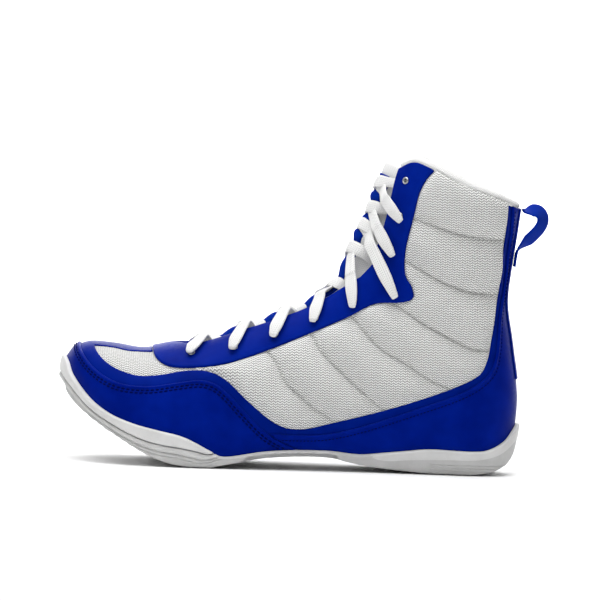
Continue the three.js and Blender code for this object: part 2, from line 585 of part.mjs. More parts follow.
function laceSolid(spots) {
  const section = [[-0.5, -0.5], [0.5, -0.5], [0.5, 0.5], [-0.5, 0.5]];
  const vertices = [];
  const triangles = [];
  let previous = null;
  spots.forEach((spot, i) => {
    const before = spots[Math.max(i - 1, 0)].point;
    const after = spots[Math.min(i + 1, spots.length - 1)].point;
    const along = after.clone().sub(before).normalize();
    const seed = spot.folded ? previous.clone() : spot.normal.clone();
    const flat = seed.addScaledVector(along, -seed.dot(along)).normalize();
    if (previous && flat.dot(previous) < 0) flat.negate();
    previous = flat.clone();
    const across = along.clone().cross(flat);
    const thickness = spot.folded ? foldedThickness : laceThickness;
    section.forEach(([a, b]) => vertices.push(spot.point.clone().addScaledVector(across, a * spot.width)
      .addScaledVector(flat, b * thickness)));
  });
  const sides = section.length;
  for (let i = 0; i < spots.length - 1; i += 1) {
    for (let k = 0; k < sides; k += 1) {
      const [a, b] = [i * sides + k, i * sides + ((k + 1) % sides)];
      triangles.push([a, a + sides, b], [b, a + sides, b + sides]);
    }
  }
  const end = (spots.length - 1) * sides;
  for (let k = 1; k < sides - 1; k += 1) {
    triangles.push([0, k, k + 1], [end, end + k + 1, end + k]);
  }
  return solid(vertices, triangles);
}
addSolid('lace', laceSolid(laceSpots), whiteTextile);

const agletLength = 20;
const agletRadius = 1.7;
function agletAt(name, last, before) {
  const along = last.point.clone().sub(before.point).normalize();
  const turn = new THREE.Quaternion().setFromUnitVectors(new THREE.Vector3(0, 1, 0), along);
  const middle = last.point.clone().addScaledVector(along, gap + agletLength / 2);
  addSolid(name, fromGeometry(new THREE.CylinderGeometry(agletRadius, agletRadius, agletLength, eyeletSides)
    .applyQuaternion(turn).translate(middle.x, middle.y, middle.z)), agletPlastic);
}
agletAt('aglet_medial', laceSpots[0], laceSpots[1]);
agletAt('aglet_lateral', laceSpots.at(-1), laceSpots.at(-2));

// The origin is on the ground, under the middle of the boot.
const extent = new THREE.Box3().setFromObject(boot);
const centre = extent.getCenter(new THREE.Vector3());
boot.position.set(-centre.x, -centre.y, -extent.min.z);
boot.updateMatrixWorld(true);

export default boot;
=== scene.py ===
# The looks of a left boxing boot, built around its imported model. The panels are laid on the same foot
# form as the model's: lengths in this script are millimetres in the form's frame until a mesh is made.
import math

import bpy
import numpy as np
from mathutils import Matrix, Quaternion, Vector


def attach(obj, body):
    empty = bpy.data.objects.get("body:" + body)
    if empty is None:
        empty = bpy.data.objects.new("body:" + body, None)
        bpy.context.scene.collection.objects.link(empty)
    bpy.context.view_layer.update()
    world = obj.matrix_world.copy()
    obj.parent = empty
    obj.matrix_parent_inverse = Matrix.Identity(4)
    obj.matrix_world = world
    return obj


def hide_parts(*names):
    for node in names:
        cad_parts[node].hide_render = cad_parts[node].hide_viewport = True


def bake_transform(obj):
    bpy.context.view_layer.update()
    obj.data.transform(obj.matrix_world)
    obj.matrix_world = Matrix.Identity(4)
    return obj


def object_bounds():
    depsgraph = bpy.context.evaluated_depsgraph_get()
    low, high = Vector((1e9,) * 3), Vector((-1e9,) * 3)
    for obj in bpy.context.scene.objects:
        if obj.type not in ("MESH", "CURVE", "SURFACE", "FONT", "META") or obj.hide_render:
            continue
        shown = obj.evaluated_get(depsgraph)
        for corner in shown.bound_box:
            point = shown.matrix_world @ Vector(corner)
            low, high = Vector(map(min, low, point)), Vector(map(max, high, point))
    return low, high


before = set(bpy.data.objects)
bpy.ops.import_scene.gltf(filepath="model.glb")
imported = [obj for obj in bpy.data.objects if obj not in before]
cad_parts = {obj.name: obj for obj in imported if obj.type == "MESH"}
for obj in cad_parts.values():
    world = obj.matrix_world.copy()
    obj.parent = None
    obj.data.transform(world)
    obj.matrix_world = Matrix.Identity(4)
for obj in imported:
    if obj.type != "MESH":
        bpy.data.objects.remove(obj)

cad_low, cad_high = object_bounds()
MM = 0.001
FORM_CENTRE = np.array([0.392, -0.0005, 0.0])  # of the boot, in the form's frame
FORM_SIZE = np.array([301.09, 105.52, 197.70])  # of the boot, as drawn
FIT = np.array(cad_high - cad_low) / (FORM_SIZE * MM)
FAR = 400.0

# ---------------- layers, as offsets from the form
GAP = 0.3
QUARTER = (-2.6, 0.0)
STIFFENER = (-3.7, -2.9)
LINING = (-4.8, -4.0)
UNDERLAY = (0.3, 1.1)
OVERLAY = (1.4, 2.4)
BACKSTAY = (2.7, 3.5)
EYESTAY = (0.3, 1.9)
CUP_INNER, CUP_OUTER = 2.7, 5.2
LACE_UNDER = -6.6
LACE_OVER = 4.2
TONGUE = (-13.2, -8.4)
BACKSTAY_WIDTH = 18.0
LOOP_WIDTH, LOOP_THICKNESS = 14.0, 1.8

# ---------------- the foot form
# top x, top z, bottom x, bottom z, half width, sideways shift, height share of the widest point, squareness
STATIONS = np.array([
    [-143.5, 64.5, -142, 47, 15, 9, 0.5, 2.1],
    [-139, 70, -137, 34, 25, 8, 0.52, 2.4],
    [-131, 73, -127, 22, 34.5, 6, 0.58, 2.8],
    [-116, 72.5, -112, 11, 42.5, 3, 0.64, 3.4],
    [-98, 70.5, -97, 2, 46.5, 1, 0.68, 3.8],
    [-80, 74, -78, -4, 48, 0, 0.68, 3.8],
    [-60, 77, -58, -6, 47, -1, 0.68, 3.8],
    [-38, 85.5, -34, -4, 43.5, -1.5, 0.66, 3.6],
    [-14, 95, -8, 0, 39, -1, 0.64, 3.4],
    [8, 105.5, 20, 1, 36, 0, 0.62, 3.3],
    [24, 120, 52, -2, 34.5, 0.5, 0.6, 3.2],
    [32, 134, 88, -5, 34.5, 0, 0.58, 3.0],
    [36.5, 144, 120, -4, 34.5, 0, 0.55, 2.8],
    [40, 151, 132, 12, 34, 0, 0.52, 2.5],
    [43, 157, 136.5, 46, 33.5, 0, 0.5, 2.3],
    [45.5, 164, 132, 80, 34, 0, 0.5, 2.2],
    [47.5, 171, 127.5, 107, 35, 0, 0.5, 2.2],
    [50, 179, 129, 130, 36.5, 0, 0.5, 2.2],
    [54, 190, 132, 154, 38, 0, 0.5, 2.2],
    [60, 205, 135, 182, 39, 0, 0.5, 2.2],
])
TOP_ROUNDNESS = 2.2
LAST = len(STATIONS) - 1
NOSE = 2.7  # how far the rounded tip stands ahead of the first station


def unit(vectors):
    return vectors / np.maximum(np.linalg.norm(vectors, axis=-1, keepdims=True), 1e-9)


def step_lengths(points):
    return np.linalg.norm(np.diff(points, axis=0), axis=1)


def run_along(points):
    """How far along a line each of its points is."""
    return np.concatenate([[0], np.cumsum(step_lengths(points))])


def spaced(places, run, values):
    """Rows of three values at places along a line."""
    return np.stack([np.interp(places, run, values[:, k]) for k in range(3)], 1)


def smooth_step(value, low, high):
    t = np.clip((np.asarray(value, float) - low) / (high - low), 0, 1)
    return t * t * (3 - 2 * t)


def full_turn(count):
    return np.linspace(0, 2 * np.pi, count, endpoint=False)


def squared(values, power):
    """Sines and cosines turned towards those of a rounded square."""
    return np.sign(values) * np.abs(values) ** power


def spline(a, b, d, e, t):
    """The Catmull-Rom curve from b to d, between a and e."""
    return b + 0.5 * t * (d - a + t * (2 * a - 5 * b + 4 * d - e + t * (3 * (b - d) + e - a)))


def meet(*fields):
    return np.min(fields, 0)


def station(u):
    u = np.clip(np.asarray(u, float), 0, LAST)
    i = np.minimum(u.astype(int), LAST - 1)
    t = (u - i)[..., None]
    return spline(*(STATIONS[np.clip(i + k, 0, LAST)] for k in (-1, 0, 1, 2)), t)


def form_point(u, angle):
    """Places on the form. Angle 0 is the top or front line, +90 degrees lateral. u below 0 is the tip."""
    tx, tz, bx, bz, half, shift, belly, square = np.moveaxis(station(u), -1, 0)
    along, side = np.cos(angle), np.sin(angle)
    power = 2 / np.where(along >= 0, TOP_ROUNDNESS, square)
    reach = np.abs(along) ** power
    t = np.where(along >= 0, belly * (1 - reach), belly + (1 - belly) * reach)
    tip = np.clip(-np.asarray(u, float), 0, 1)
    y = shift - np.sign(side) * half * np.abs(side) ** power * (1 - tip)
    x, z = tx + (bx - tx) * t, tz + (bz - tz) * t
    x = x + ((tx + bx) / 2 - x) * tip - NOSE * (1 - (1 - tip) ** 2)
    z = z + ((tz + bz) / 2 - z) * tip
    return np.stack([x, y, z], -1)


def even(places, count, spacing):
    """count + 1 parameters between the ends of places, spaced evenly by the measure that spacing gives."""
    measure = np.concatenate([[0], np.cumsum(spacing)])
    return np.interp(np.linspace(0, measure[-1], count + 1), measure, places)


fine_u = np.linspace(-1, LAST, 801)
fine_a = np.linspace(0, 2 * np.pi, 1441)
along_steps = [step_lengths(form_point(fine_u, a)) for a in np.linspace(0, np.pi, 7)]
around_steps = [step_lengths(form_point(u, fine_a)) for u in (3, 6, 9, 12, 15, 18)]
ROWS, COLUMNS = 300, 256
grid_u = even(fine_u, ROWS, np.mean(along_steps, 0) + 0.5 * np.max(along_steps, 0))
grid_a = even(fine_a, COLUMNS, np.mean([s / s.sum() for s in around_steps], 0))[:-1]
grid_point = form_point(grid_u[:, None], grid_a[None, :])


def grid_normals(points):
    around = np.roll(points, -1, 1) - np.roll(points, 1, 1)
    along = np.gradient(points, axis=0)
    normal = np.cross(around, along)
    normal[0] = (-1, 0, 0)
    return unit(normal)


grid_normal = grid_normals(grid_point)
P = grid_point.reshape(-1, 3)
N = grid_normal.reshape(-1, 3)
U = np.repeat(grid_u, COLUMNS)
A = np.tile(grid_a, ROWS + 1)
STATION = station(U)
SHIFT = STATION[:, 5]


def grid_triangles():
    j, i = np.meshgrid(np.arange(ROWS), np.arange(COLUMNS), indexing="ij")
    a = j * COLUMNS + i
    b = j * COLUMNS + (i + 1) % COLUMNS
    first = np.stack([a, b, a + COLUMNS], -1).reshape(-1, 3)
    second = np.stack([b, b + COLUMNS, a + COLUMNS], -1).reshape(-1, 3)
    return np.concatenate([first, second])


TRIANGLES = grid_triangles()
# How far round a ring a point is from the top line, on the lateral (+) or the medial side (-).
ring_step = np.linalg.norm(np.roll(grid_point, -1, 1) - grid_point, axis=-1)
arc = np.concatenate([np.zeros((ROWS + 1, 1)), np.cumsum(ring_step, 1)[:, :-1]], 1)
ARC = np.where(arc > arc[:, -1:] / 2, arc - ring_step.sum(1, keepdims=True), arc).reshape(-1)


def surface(u, angle, offset=0.0):
    """Places on the form, raised by an offset, with their normals."""
    u, angle = np.broadcast_arrays(np.asarray(u, float), np.asarray(angle, float) % (2 * np.pi))
    j = np.clip(np.interp(u, grid_u, np.arange(ROWS + 1)), 0, ROWS - 1e-6)
    i = np.interp(angle, np.append(grid_a, 2 * np.pi), np.arange(COLUMNS + 1))
    j0, i0 = j.astype(int), i.astype(int)
    tj, ti = (j - j0)[..., None], (i - i0)[..., None]

    def mix(values):
        low = values[j0, i0 % COLUMNS] * (1 - ti) + values[j0, (i0 + 1) % COLUMNS] * ti
        high = values[j0 + 1, i0 % COLUMNS] * (1 - ti) + values[j0 + 1, (i0 + 1) % COLUMNS] * ti
        return low * (1 - tj) + high * tj

    normal = unit(mix(grid_normal))
    return mix(grid_point) + normal * np.asarray(offset, float)[..., None], normal


# ---------------- outlines in side view
def curve(points, per_span=8):
    """A smooth line through points, as three.js's SplineCurve draws it."""
    p = np.asarray(points, float)
    padded = np.concatenate([p[:1], p, p[-1:]])
    t = np.linspace(0, 1, per_span, endpoint=False)[:, None]
    spans = [spline(*span, t) for span in zip(padded[:-3], padded[1:-2], padded[2:-1], padded[3:])]
    return np.concatenate(spans + [p[-1:]])


def moved(line, distance):
    line = np.asarray(line, float)
    step = unit(np.concatenate([line[1:], line[-1:]]) - np.concatenate([line[:1], line[:-1]]))
    return line + distance * np.stack([-step[:, 1], step[:, 0]], 1)


def nearest(points, line):
    """Signed distance of each x, z point to a line, positive on its left, and the line's normal there."""
    a, ab = line[:-1], np.diff(line, axis=0)
    length2 = (ab ** 2).sum(1)
    normals = np.stack([-ab[:, 1], ab[:, 0]], 1) / np.sqrt(length2)[:, None]
    distance, normal = np.empty(len(points)), np.empty((len(points), 2))
    for start in range(0, len(points), 20000):
        p = points[start:start + 20000]
        t = np.clip(((p[:, None] - a) * ab).sum(2) / length2, 0, 1)
        d = p[:, None] - (a + t[..., None] * ab)
        best = np.argmin((d ** 2).sum(2), 1)
        rows = np.arange(len(p))
        tb, db, n = t[rows, best], d[rows, best], normals[best].copy()
        before, after = normals[np.maximum(best - 1, 0)], normals[np.minimum(best + 1, len(ab) - 1)]
        n = unit(np.where((tb <= 0)[:, None], n + before, np.where((tb >= 1)[:, None], n + after, n)))
        distance[start:start + 20000] = np.linalg.norm(db, axis=1) * np.sign((db * n).sum(1) + 1e-12)
        normal[start:start + 20000] = n
    return distance, normal


def over_surface(distance, direction):
    """A distance measured flat in a direction, turned into the distance over the form's surface."""
    slope = (N * direction).sum(1)
    return distance / np.sqrt(np.maximum(1 - slope ** 2, 0.08))


def side(line, start=None, end=None, offset=0.0):
    """For every grid point, raised by an offset, how far it lies to the left of a line over the surface."""
    line = np.asarray(line, float)
    parts = [line]
    if start is not None:
        parts.insert(0, np.array([start], float))
    if end is not None:
        parts.append(np.array([end], float))
    distance, normal = nearest((P + N * offset)[:, [0, 2]], np.concatenate(parts))
    return over_surface(distance, np.stack([normal[:, 0], np.zeros(len(P)), normal[:, 1]], 1))


def above(line, offset=0.0):
    return side(line, (-FAR, line[0][1]), (FAR, line[-1][1]), offset)


def below(line, offset=0.0):
    return -above(line, offset)


SOLE_BOTTOM = np.concatenate([
    curve([[-170, 86], [-152, 55], [-144, 40], [-128, 27], [-108, 15], [-92, 6.4], [-78, 1.6], [-66, 0]]),
    curve([[-52, 0], [-40, 2.6], [-20, 6.3], [4, 8], [22, 7.6], [36, 5], [56, 2.2], [76, 0.6], [90, 0]]),
    curve([[112, 0], [124, 2], [134, 8], [141, 20], [150, 42]]),
])
FLOOR = curve([[-170, 92], [-150, 60], [-138, 45], [-124, 32], [-108, 21.5], [-92, 12], [-76, 6.5], [-58, 5],
               [-42, 6], [-20, 9.5], [0, 11], [22, 11], [42, 9], [64, 7.5], [90, 7], [160, 7]])
TOE_PARTING = curve([[-170, 80], [-152, 56.5], [-143, 46], [-130, 33.5], [-114, 24], [-98, 17], [-84, 13.5],
                     [-72, 12], [-62, 10.2], [-54, 8.6], [-47, 9.5]])
HEEL_PARTING = curve([[44, 13], [49, 9], [58, 7.4], [74, 8.6], [96, 9.4], [114, 9.6], [128, 13], [137, 20],
                      [146, 31]])
SOLE_TOP = curve([[-170, 90], [-149, 66], [-143, 53.5], [-131, 40], [-118, 31.5], [-102, 26], [-86, 22.5],
                  [-72, 19.6], [-62, 15.6], [-52, 10.4], [-43, 6.8], [-20, 10.4], [0, 11.8], [22, 11.8],
                  [40, 10.2], [56, 12], [70, 13.8], [84, 15.4], [100, 15], [112, 14.8], [122, 16], [132, 21],
                  [138, 28], [150, 46]])
COLLAR_TOP = curve([[30, 190], [55, 192], [67, 197.6], [76, 196.2], [88, 190.6], [104, 183], [122, 176.6],
                    [136, 171], [170, 160]])
COLLAR_LOW = curve([[30, 187], [55, 189], [67, 194.8], [76, 193.4], [88, 187.5], [104, 179.4], [122, 173],
                    [136, 167.4], [170, 156]])
MESH_EDGE = curve([[-131, 84], [-128, 71], [-118, 61.5], [-102, 56], [-88, 56.5], [-70, 60], [-56, 60],
                   [-44, 54.5], [-30, 42], [-12, 28.5], [4, 25.8], [26, 31], [56, 39.5], [90, 51.5],
                   [112, 62], [118.5, 72], [121, 86], [123.5, 106], [125.5, 122], [126.5, 142], [128, 158],
                   [128, 190]])
STRIP_EDGE = curve([[-150, 71.2], [-128, 71.4], [-116, 70.6], [-106, 69], [-92, 69.2], [-84, 72]])
MUDGUARD_EDGE = curve([[-139, 84], [-137, 70], [-127, 58.5], [-112, 51], [-94, 49.6], [-76, 52.5],
                       [-62, 54.6], [-52, 53], [-43, 47], [-30, 34], [-16, 21.5], [2, 12.5], [14, 6]])
HEEL_EDGE = curve([[-14, 22.6], [0, 22], [20, 23.2], [44, 29.5], [74, 40.5], [100, 50.6], [114, 58.6],
                   [121.5, 67], [124.5, 80], [125.5, 100], [128, 118], [129.5, 140], [131, 158], [131, 190]])
EYESTAY_EDGE = curve([[-96, 90], [-92, 72], [-87, 65.5], [-78, 62.4], [-62, 62.8], [-44, 66], [-20, 74.6],
                      [4, 85], [28, 96], [46, 105.6], [62, 107], [70, 110], [69, 117], [64.5, 125], [64, 140],
                      [68, 160], [72, 178], [80, 190], [92, 197], [96, 230]])
VAMP_SEAM = np.array([[-86, FAR], [-72, 74], [-62, 58], [-52, 40], [-44, -40]], float)
PUFF_EDGE = np.array([[-96, 110], [-104, 70], [-110, 40], [-104, -40]], float)
COUNTER_EDGE = np.array([[62, -40], [66, 24], [80, 44], [96, 62], [108, 84], [116, 104], [160, 112]], float)
UNDERLAY_SEAM = np.array([[-6, FAR], [-6, -FAR]], float)
THROAT = np.array([[-1, -60], [4.6, -14], [5.0, -2], [5.2, 5], [5.4, 10], [6, 12.5], [7, 13.8], [8, 14],
                   [9, 13.5], [10, 16.5], [11, 20.5], [12, 21.3], [13, 19.5], [14, 19], [15, 19.8], [16, 21],
                   [17, 21], [18, 20], [19, 20]], float)
EYELETS = [[-67, 69], [-40, 74], [-15, 83], [10, 94], [34, 107], [57, 115.6], [56, 140], [61, 161], [64, 183]]
# The sewn channels of the quilted quarters.
CHANNELS = [curve(c, 4) for c in (
    [[60, 163], [68, 160], [84, 155], [98, 151], [114, 149], [132, 148]],
    [[56, 136], [64, 133], [72, 129], [85, 122], [95, 118], [105, 115], [115, 114], [132, 113]],
    [[52, 112], [59, 106], [69, 99], [77, 94], [83, 91], [93, 86], [104, 81], [110, 79], [126, 78]],
    [[26, 103], [33, 96], [41, 87], [53, 76], [65, 70], [81, 60], [90, 56], [104, 50]],
    [[2, 92], [8, 84], [14, 74], [21, 67], [29, 60], [38, 52], [46, 46], [60, 34]],
    [[-26, 82], [-20, 74], [-14, 66], [-8, 55], [1, 47], [9, 40], [19, 34], [28, 26]],
)]

# ---------------- fields: positive inside, mm over the form
OUTSIDE = 60.0
upper_half = np.cos(A) > 0
throat_half = np.interp(U, THROAT[:, 0], THROAT[:, 1])
throat = over_surface(np.abs(P[:, 1] - SHIFT) - throat_half, np.array([0, 1.0, 0]))
throat = np.where(upper_half, throat, OUTSIDE)
lateral = over_surface(SHIFT - P[:, 1], np.array([0, 1.0, 0])) - GAP / 2
medial = -lateral - GAP
floor_level = above(FLOOR)
on_floor = floor_level - GAP
under_collar = below(COLLAR_TOP) - 1.4
under_binding = below(COLLAR_LOW) - 0.3
mesh_low = above(MESH_EDGE, UNDERLAY[1])
mudguard_zone = below(MUDGUARD_EDGE, OVERLAY[1])
heel_zone = below(HEEL_EDGE, OVERLAY[1])
eyestay_zone = side(EYESTAY_EDGE, (-FAR, 90), (96, FAR), EYESTAY[1])
toe_strip = meet(above(STRIP_EDGE), P[:, 0] + 150, -84 - P[:, 0])


def place_on_form(x, z):
    """Station and angle of the place on the lateral side that lies at x, z in side view."""
    lateral_side = (A > 0.02) & (A < 2)
    miss = np.where(lateral_side, np.hypot(P[:, 0] - x, P[:, 2] - z), FAR)
    k = int(np.argmin(miss))
    u, angle, span = U[k], A[k], 0.5
    for _ in range(6):
        us, angles = np.meshgrid(u + span * np.linspace(-1, 1, 9), angle + 0.3 * span * np.linspace(-1, 1, 9))
        p, _normal = surface(us, angles)
        best = np.unravel_index(np.argmin(np.hypot(p[..., 0] - x, p[..., 2] - z)), us.shape)
        u, angle, span = us[best], angles[best], span / 3
    return u, angle


eyelet_places = [place_on_form(x, z) for x, z in EYELETS]
HOLE = 1.9  # radius of the drilled holes
centres = [surface(u, sign * a)[0] for u, a in eyelet_places for sign in (1, -1)]
holes = np.min([np.linalg.norm(P - c, axis=1) for c in centres], 0) - HOLE


# ---------------- meshes
def to_world(points):
    return (np.asarray(points, float) - FORM_CENTRE) * FIT * MM


def linked(name, data):
    thing = bpy.data.objects.new(name, data)
    bpy.context.scene.collection.objects.link(thing)
    return thing


def make_mesh(name, points, faces, sharp=42, fabric=None):
    """A smooth-shaded object from places in mm. fabric holds its cloth coordinates, along and across."""
    mesh = bpy.data.meshes.new(name)
    mesh.from_pydata(to_world(points).tolist(), [], [list(map(int, f)) for f in faces])
    mesh.update()
    mesh.polygons.foreach_set("use_smooth", np.ones(len(mesh.polygons), bool))
    mesh.set_sharp_from_angle(angle=math.radians(sharp))
    if fabric is not None:
        values = np.zeros((len(points), 3), np.float32)
        values[:, :2] = fabric
        attribute = mesh.attributes.new("fabric", "FLOAT_VECTOR", "POINT")
        attribute.data.foreach_set("vector", values.ravel())
    return linked(name, mesh)


def finished(thing, material, slot, *nodes, body="boot"):
    """Gives a piece its material and the body it rides on, and hides the model's parts for the nodes that it
    stands for. slot is not used.
    """
    thing.data.materials.append(material)
    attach(thing, body)
    if nodes:
        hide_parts(*nodes)
    return thing


def lone_first(triangles, positive):
    """The triangles with points on both sides, each turned so that the lone point comes first."""
    count = positive[triangles].sum(1)
    crossed = (count == 1) | (count == 2)
    cut = triangles[crossed]
    s = positive[cut]
    lone = np.where(s[:, 0] == s[:, 1], 2, np.where(s[:, 0] == s[:, 2], 1, 0))
    return np.take_along_axis(cut, (lone[:, None] + np.arange(3)) % 3, 1), triangles[~crossed]


def split(values, triangles, level, column=0):
    """Cuts triangles where one column of their points' values crosses a level."""
    d = values[:, column] - level
    d[np.abs(d) < 1e-7] = 1e-7
    cut, whole = lone_first(triangles, d > 0)
    if not len(cut):
        return values, triangles
    edges = np.concatenate([cut[:, [0, 1]], cut[:, [0, 2]]])
    unique, index = np.unique(np.sort(edges, 1), axis=0, return_inverse=True)
    index = index.reshape(-1) + len(values)
    d0, d1 = d[unique[:, 0]], d[unique[:, 1]]
    t = (d0 / (d0 - d1))[:, None]
    added = values[unique[:, 0]] * (1 - t) + values[unique[:, 1]] * t
    added[:, column] = level
    e01, e02 = index[:len(cut)], index[len(cut):]
    v0, v1, v2 = cut.T
    pieces = [whole, np.stack([v0, e01, e02], 1), np.stack([e01, v1, v2], 1), np.stack([e01, v2, e02], 1)]
    return np.concatenate([values, added]), np.concatenate(pieces)


EDGE_RADIUS = 0.9
EDGE_LEVELS = (0.0, 0.12, 0.4, 0.9)


def rolled(distance, radius):
    """The share of its full height that a panel has at a distance inside its edge."""
    inside = np.clip(distance / radius, 0, 1)
    return 0.3 + 0.7 * np.sqrt(1 - (1 - inside) ** 2)


def panel(name, field, layer, extra=None, radius=EDGE_RADIUS, cloth=None, creases=()):
    """A closed sheet on the form, where field is positive, with a rolled edge. extra raises its outer face.
    Each crease is a distance field, a height (negative for a groove) and a half width."""
    low, high = layer
    raised = np.zeros(len(P)) if extra is None else extra
    cloth = np.stack([P[:, 0], P[:, 2]], 1) if cloth is None else cloth
    lines = [np.clip(distance, -FAR, FAR)[:, None] for distance, _height, _half in creases]
    values = np.concatenate([field[:, None], P, N, raised[:, None], cloth, *lines], 1)
    near = (field[TRIANGLES] > -4).any(1)
    triangles = TRIANGLES[near]
    for level in EDGE_LEVELS:
        values, triangles = split(values, triangles, level * radius)
    for k, (_distance, _height, half) in enumerate(creases):
        for level in (-half, -half / 2, 0, half / 2, half):
            values, triangles = split(values, triangles, level, 10 + k)
    triangles = triangles[values[triangles, 0].mean(1) > 1e-6]
    used, triangles = np.unique(triangles, return_inverse=True)
    triangles, values = triangles.reshape(-1, 3), values[used]
    distance, points, normals, cloth = values[:, 0], values[:, 1:4], values[:, 4:7], values[:, 8:10]
    raised = values[:, 7].copy()
    for k, (_distance, height, half) in enumerate(creases):
        raised += height * (1 + np.cos(np.pi * np.clip(values[:, 10 + k] / half, -1, 1))) / 2
    normals = unit(normals)
    top = low + (high - low) * rolled(distance, radius) + raised * np.clip(distance / radius, 0, 1)
    outer, inner = points + normals * top[:, None], points + normals * low
    count = len(points)
    directed = np.concatenate([triangles[:, [0, 1]], triangles[:, [1, 2]], triangles[:, [2, 0]]])
    keys = directed[:, 0] * count + directed[:, 1]
    rim = directed[~np.isin(keys, directed[:, 1] * count + directed[:, 0])]
    walls = np.concatenate([np.stack([rim[:, 1], rim[:, 0], rim[:, 0] + count], 1),
                            np.stack([rim[:, 1], rim[:, 0] + count, rim[:, 1] + count], 1)])
    faces = np.concatenate([triangles, triangles[:, ::-1] + count, walls])
    return make_mesh(name, np.concatenate([outer, inner]), faces, fabric=np.concatenate([cloth, cloth]))


def ring_faces(count, around, base=0, closed=False):
    """Faces from ring to ring: closed turns back to the first ring, otherwise both ends get a cap."""
    faces = []
    for j in range(count if closed else count - 1):
        a, b = base + j * around, base + (j + 1) % count * around
        for i in range(around):
            n = (i + 1) % around
            faces.append((a + i, a + n, b + n, b + i))
    if not closed:
        faces.append(tuple(base + i for i in range(around))[::-1])
        faces.append(tuple(base + (count - 1) * around + i for i in range(around)))
    return faces


def sweep(name, rings, fabric):
    """A tube through rings of points, all with the same count."""
    return make_mesh(name, rings.reshape(-1, 3), ring_faces(*rings.shape[:2]), fabric=fabric)


def double_sheet(name, top, bottom, fabric, upward=True):
    """A closed sheet between two grids of points. upward says which way the rows turn about the columns."""
    rows, columns = top.shape[:2]
    count = rows * columns
    faces = []
    for j in range(rows - 1):
        for i in range(columns - 1):
            a = j * columns + i
            faces.append((a, a + 1, a + columns + 1, a + columns))
            faces.append((count + a, count + a + columns, count + a + columns + 1, count + a + 1))
    rim = ([i for i in range(columns)] + [j * columns + columns - 1 for j in range(1, rows)]
           + [(rows - 1) * columns + i for i in range(columns - 2, -1, -1)]
           + [j * columns for j in range(rows - 2, 0, -1)])
    for a, b in zip(rim, rim[1:] + rim[:1]):
        faces.append((b, a, a + count, b + count))
    if not upward:
        faces = [face[::-1] for face in faces]
    return make_mesh(name, np.concatenate([top.reshape(-1, 3), bottom.reshape(-1, 3)]), faces, fabric=fabric)


def isoline(field, level, mask):
    """The lines on the form where field is at a level and mask is true: lists of points and normals."""
    cut, _whole = lone_first(TRIANGLES[mask[TRIANGLES].all(1)], field > level)
    ends = np.stack([np.sort(cut[:, [0, 1]], 1), np.sort(cut[:, [0, 2]], 1)], 1)
    unique, index = np.unique(ends.reshape(-1, 2), axis=0, return_inverse=True)
    pairs = index.reshape(-1, 2)
    f0, f1 = field[unique[:, 0]], field[unique[:, 1]]
    t = ((level - f0) / (f1 - f0))[:, None]
    points = P[unique[:, 0]] * (1 - t) + P[unique[:, 1]] * t
    normals = N[unique[:, 0]] * (1 - t) + N[unique[:, 1]] * t
    near = {}
    for a, b in pairs.tolist():
        near.setdefault(a, []).append(b)
        near.setdefault(b, []).append(a)
    lines, seen = [], set()
    starts = [k for k, v in near.items() if len(v) == 1] + list(near)
    for first in starts:
        if first in seen:
            continue
        line, here = [first], first
        seen.add(first)
        while True:
            onward = [k for k in near[here] if k not in seen]
            if not onward:
                break
            here = onward[0]
            seen.add(here)
            line.append(here)
        if len(line) > 8:
            lines.append((softened(points[line]), softened(normals[line])))
    return lines


def softened(line):
    out = line.copy()
    for _ in range(4):
        out[1:-1] = (out[:-2] + 2 * out[1:-1] + out[2:]) / 4
    return out


def stitches(name, lines, height, length=2.5, pitch=3.1, radius=0.5, arch=0.2, phase=0.5):
    """Separate stitches along lines of points and normals: each is a thread that dips at both ends."""
    rings, sides = 6, 6
    share = np.linspace(0, 1, rings)
    girth = radius * np.sqrt(np.clip(1 - (2 * share - 1) ** 6, 0.08, 1))
    turn = full_turn(sides)
    verts, faces = [], []
    for points, normals in lines:
        run = run_along(points)
        if run[-1] < pitch:
            continue
        starts = np.arange(phase * (pitch - length), run[-1] - length, pitch)
        for start in starts:
            s = start + share * length
            centre, normal = spaced(s, run, points), unit(spaced(s, run, normals))
            across = np.cross(unit(centre[-1] - centre[0]), normal)
            centre = centre + normal * (height + arch * np.sin(np.pi * share) - 0.1)[:, None]
            round_thread = np.cos(turn)[:, None] * across[:, None] + np.sin(turn)[:, None] * normal[:, None]
            ring = centre[:, None] + girth[:, None, None] * round_thread
            base = len(verts) * rings * sides
            verts.append(ring.reshape(-1, 3))
            faces += [face[::-1] for face in ring_faces(rings, sides, base)]
    return make_mesh(name, np.concatenate(verts), faces, sharp=80)


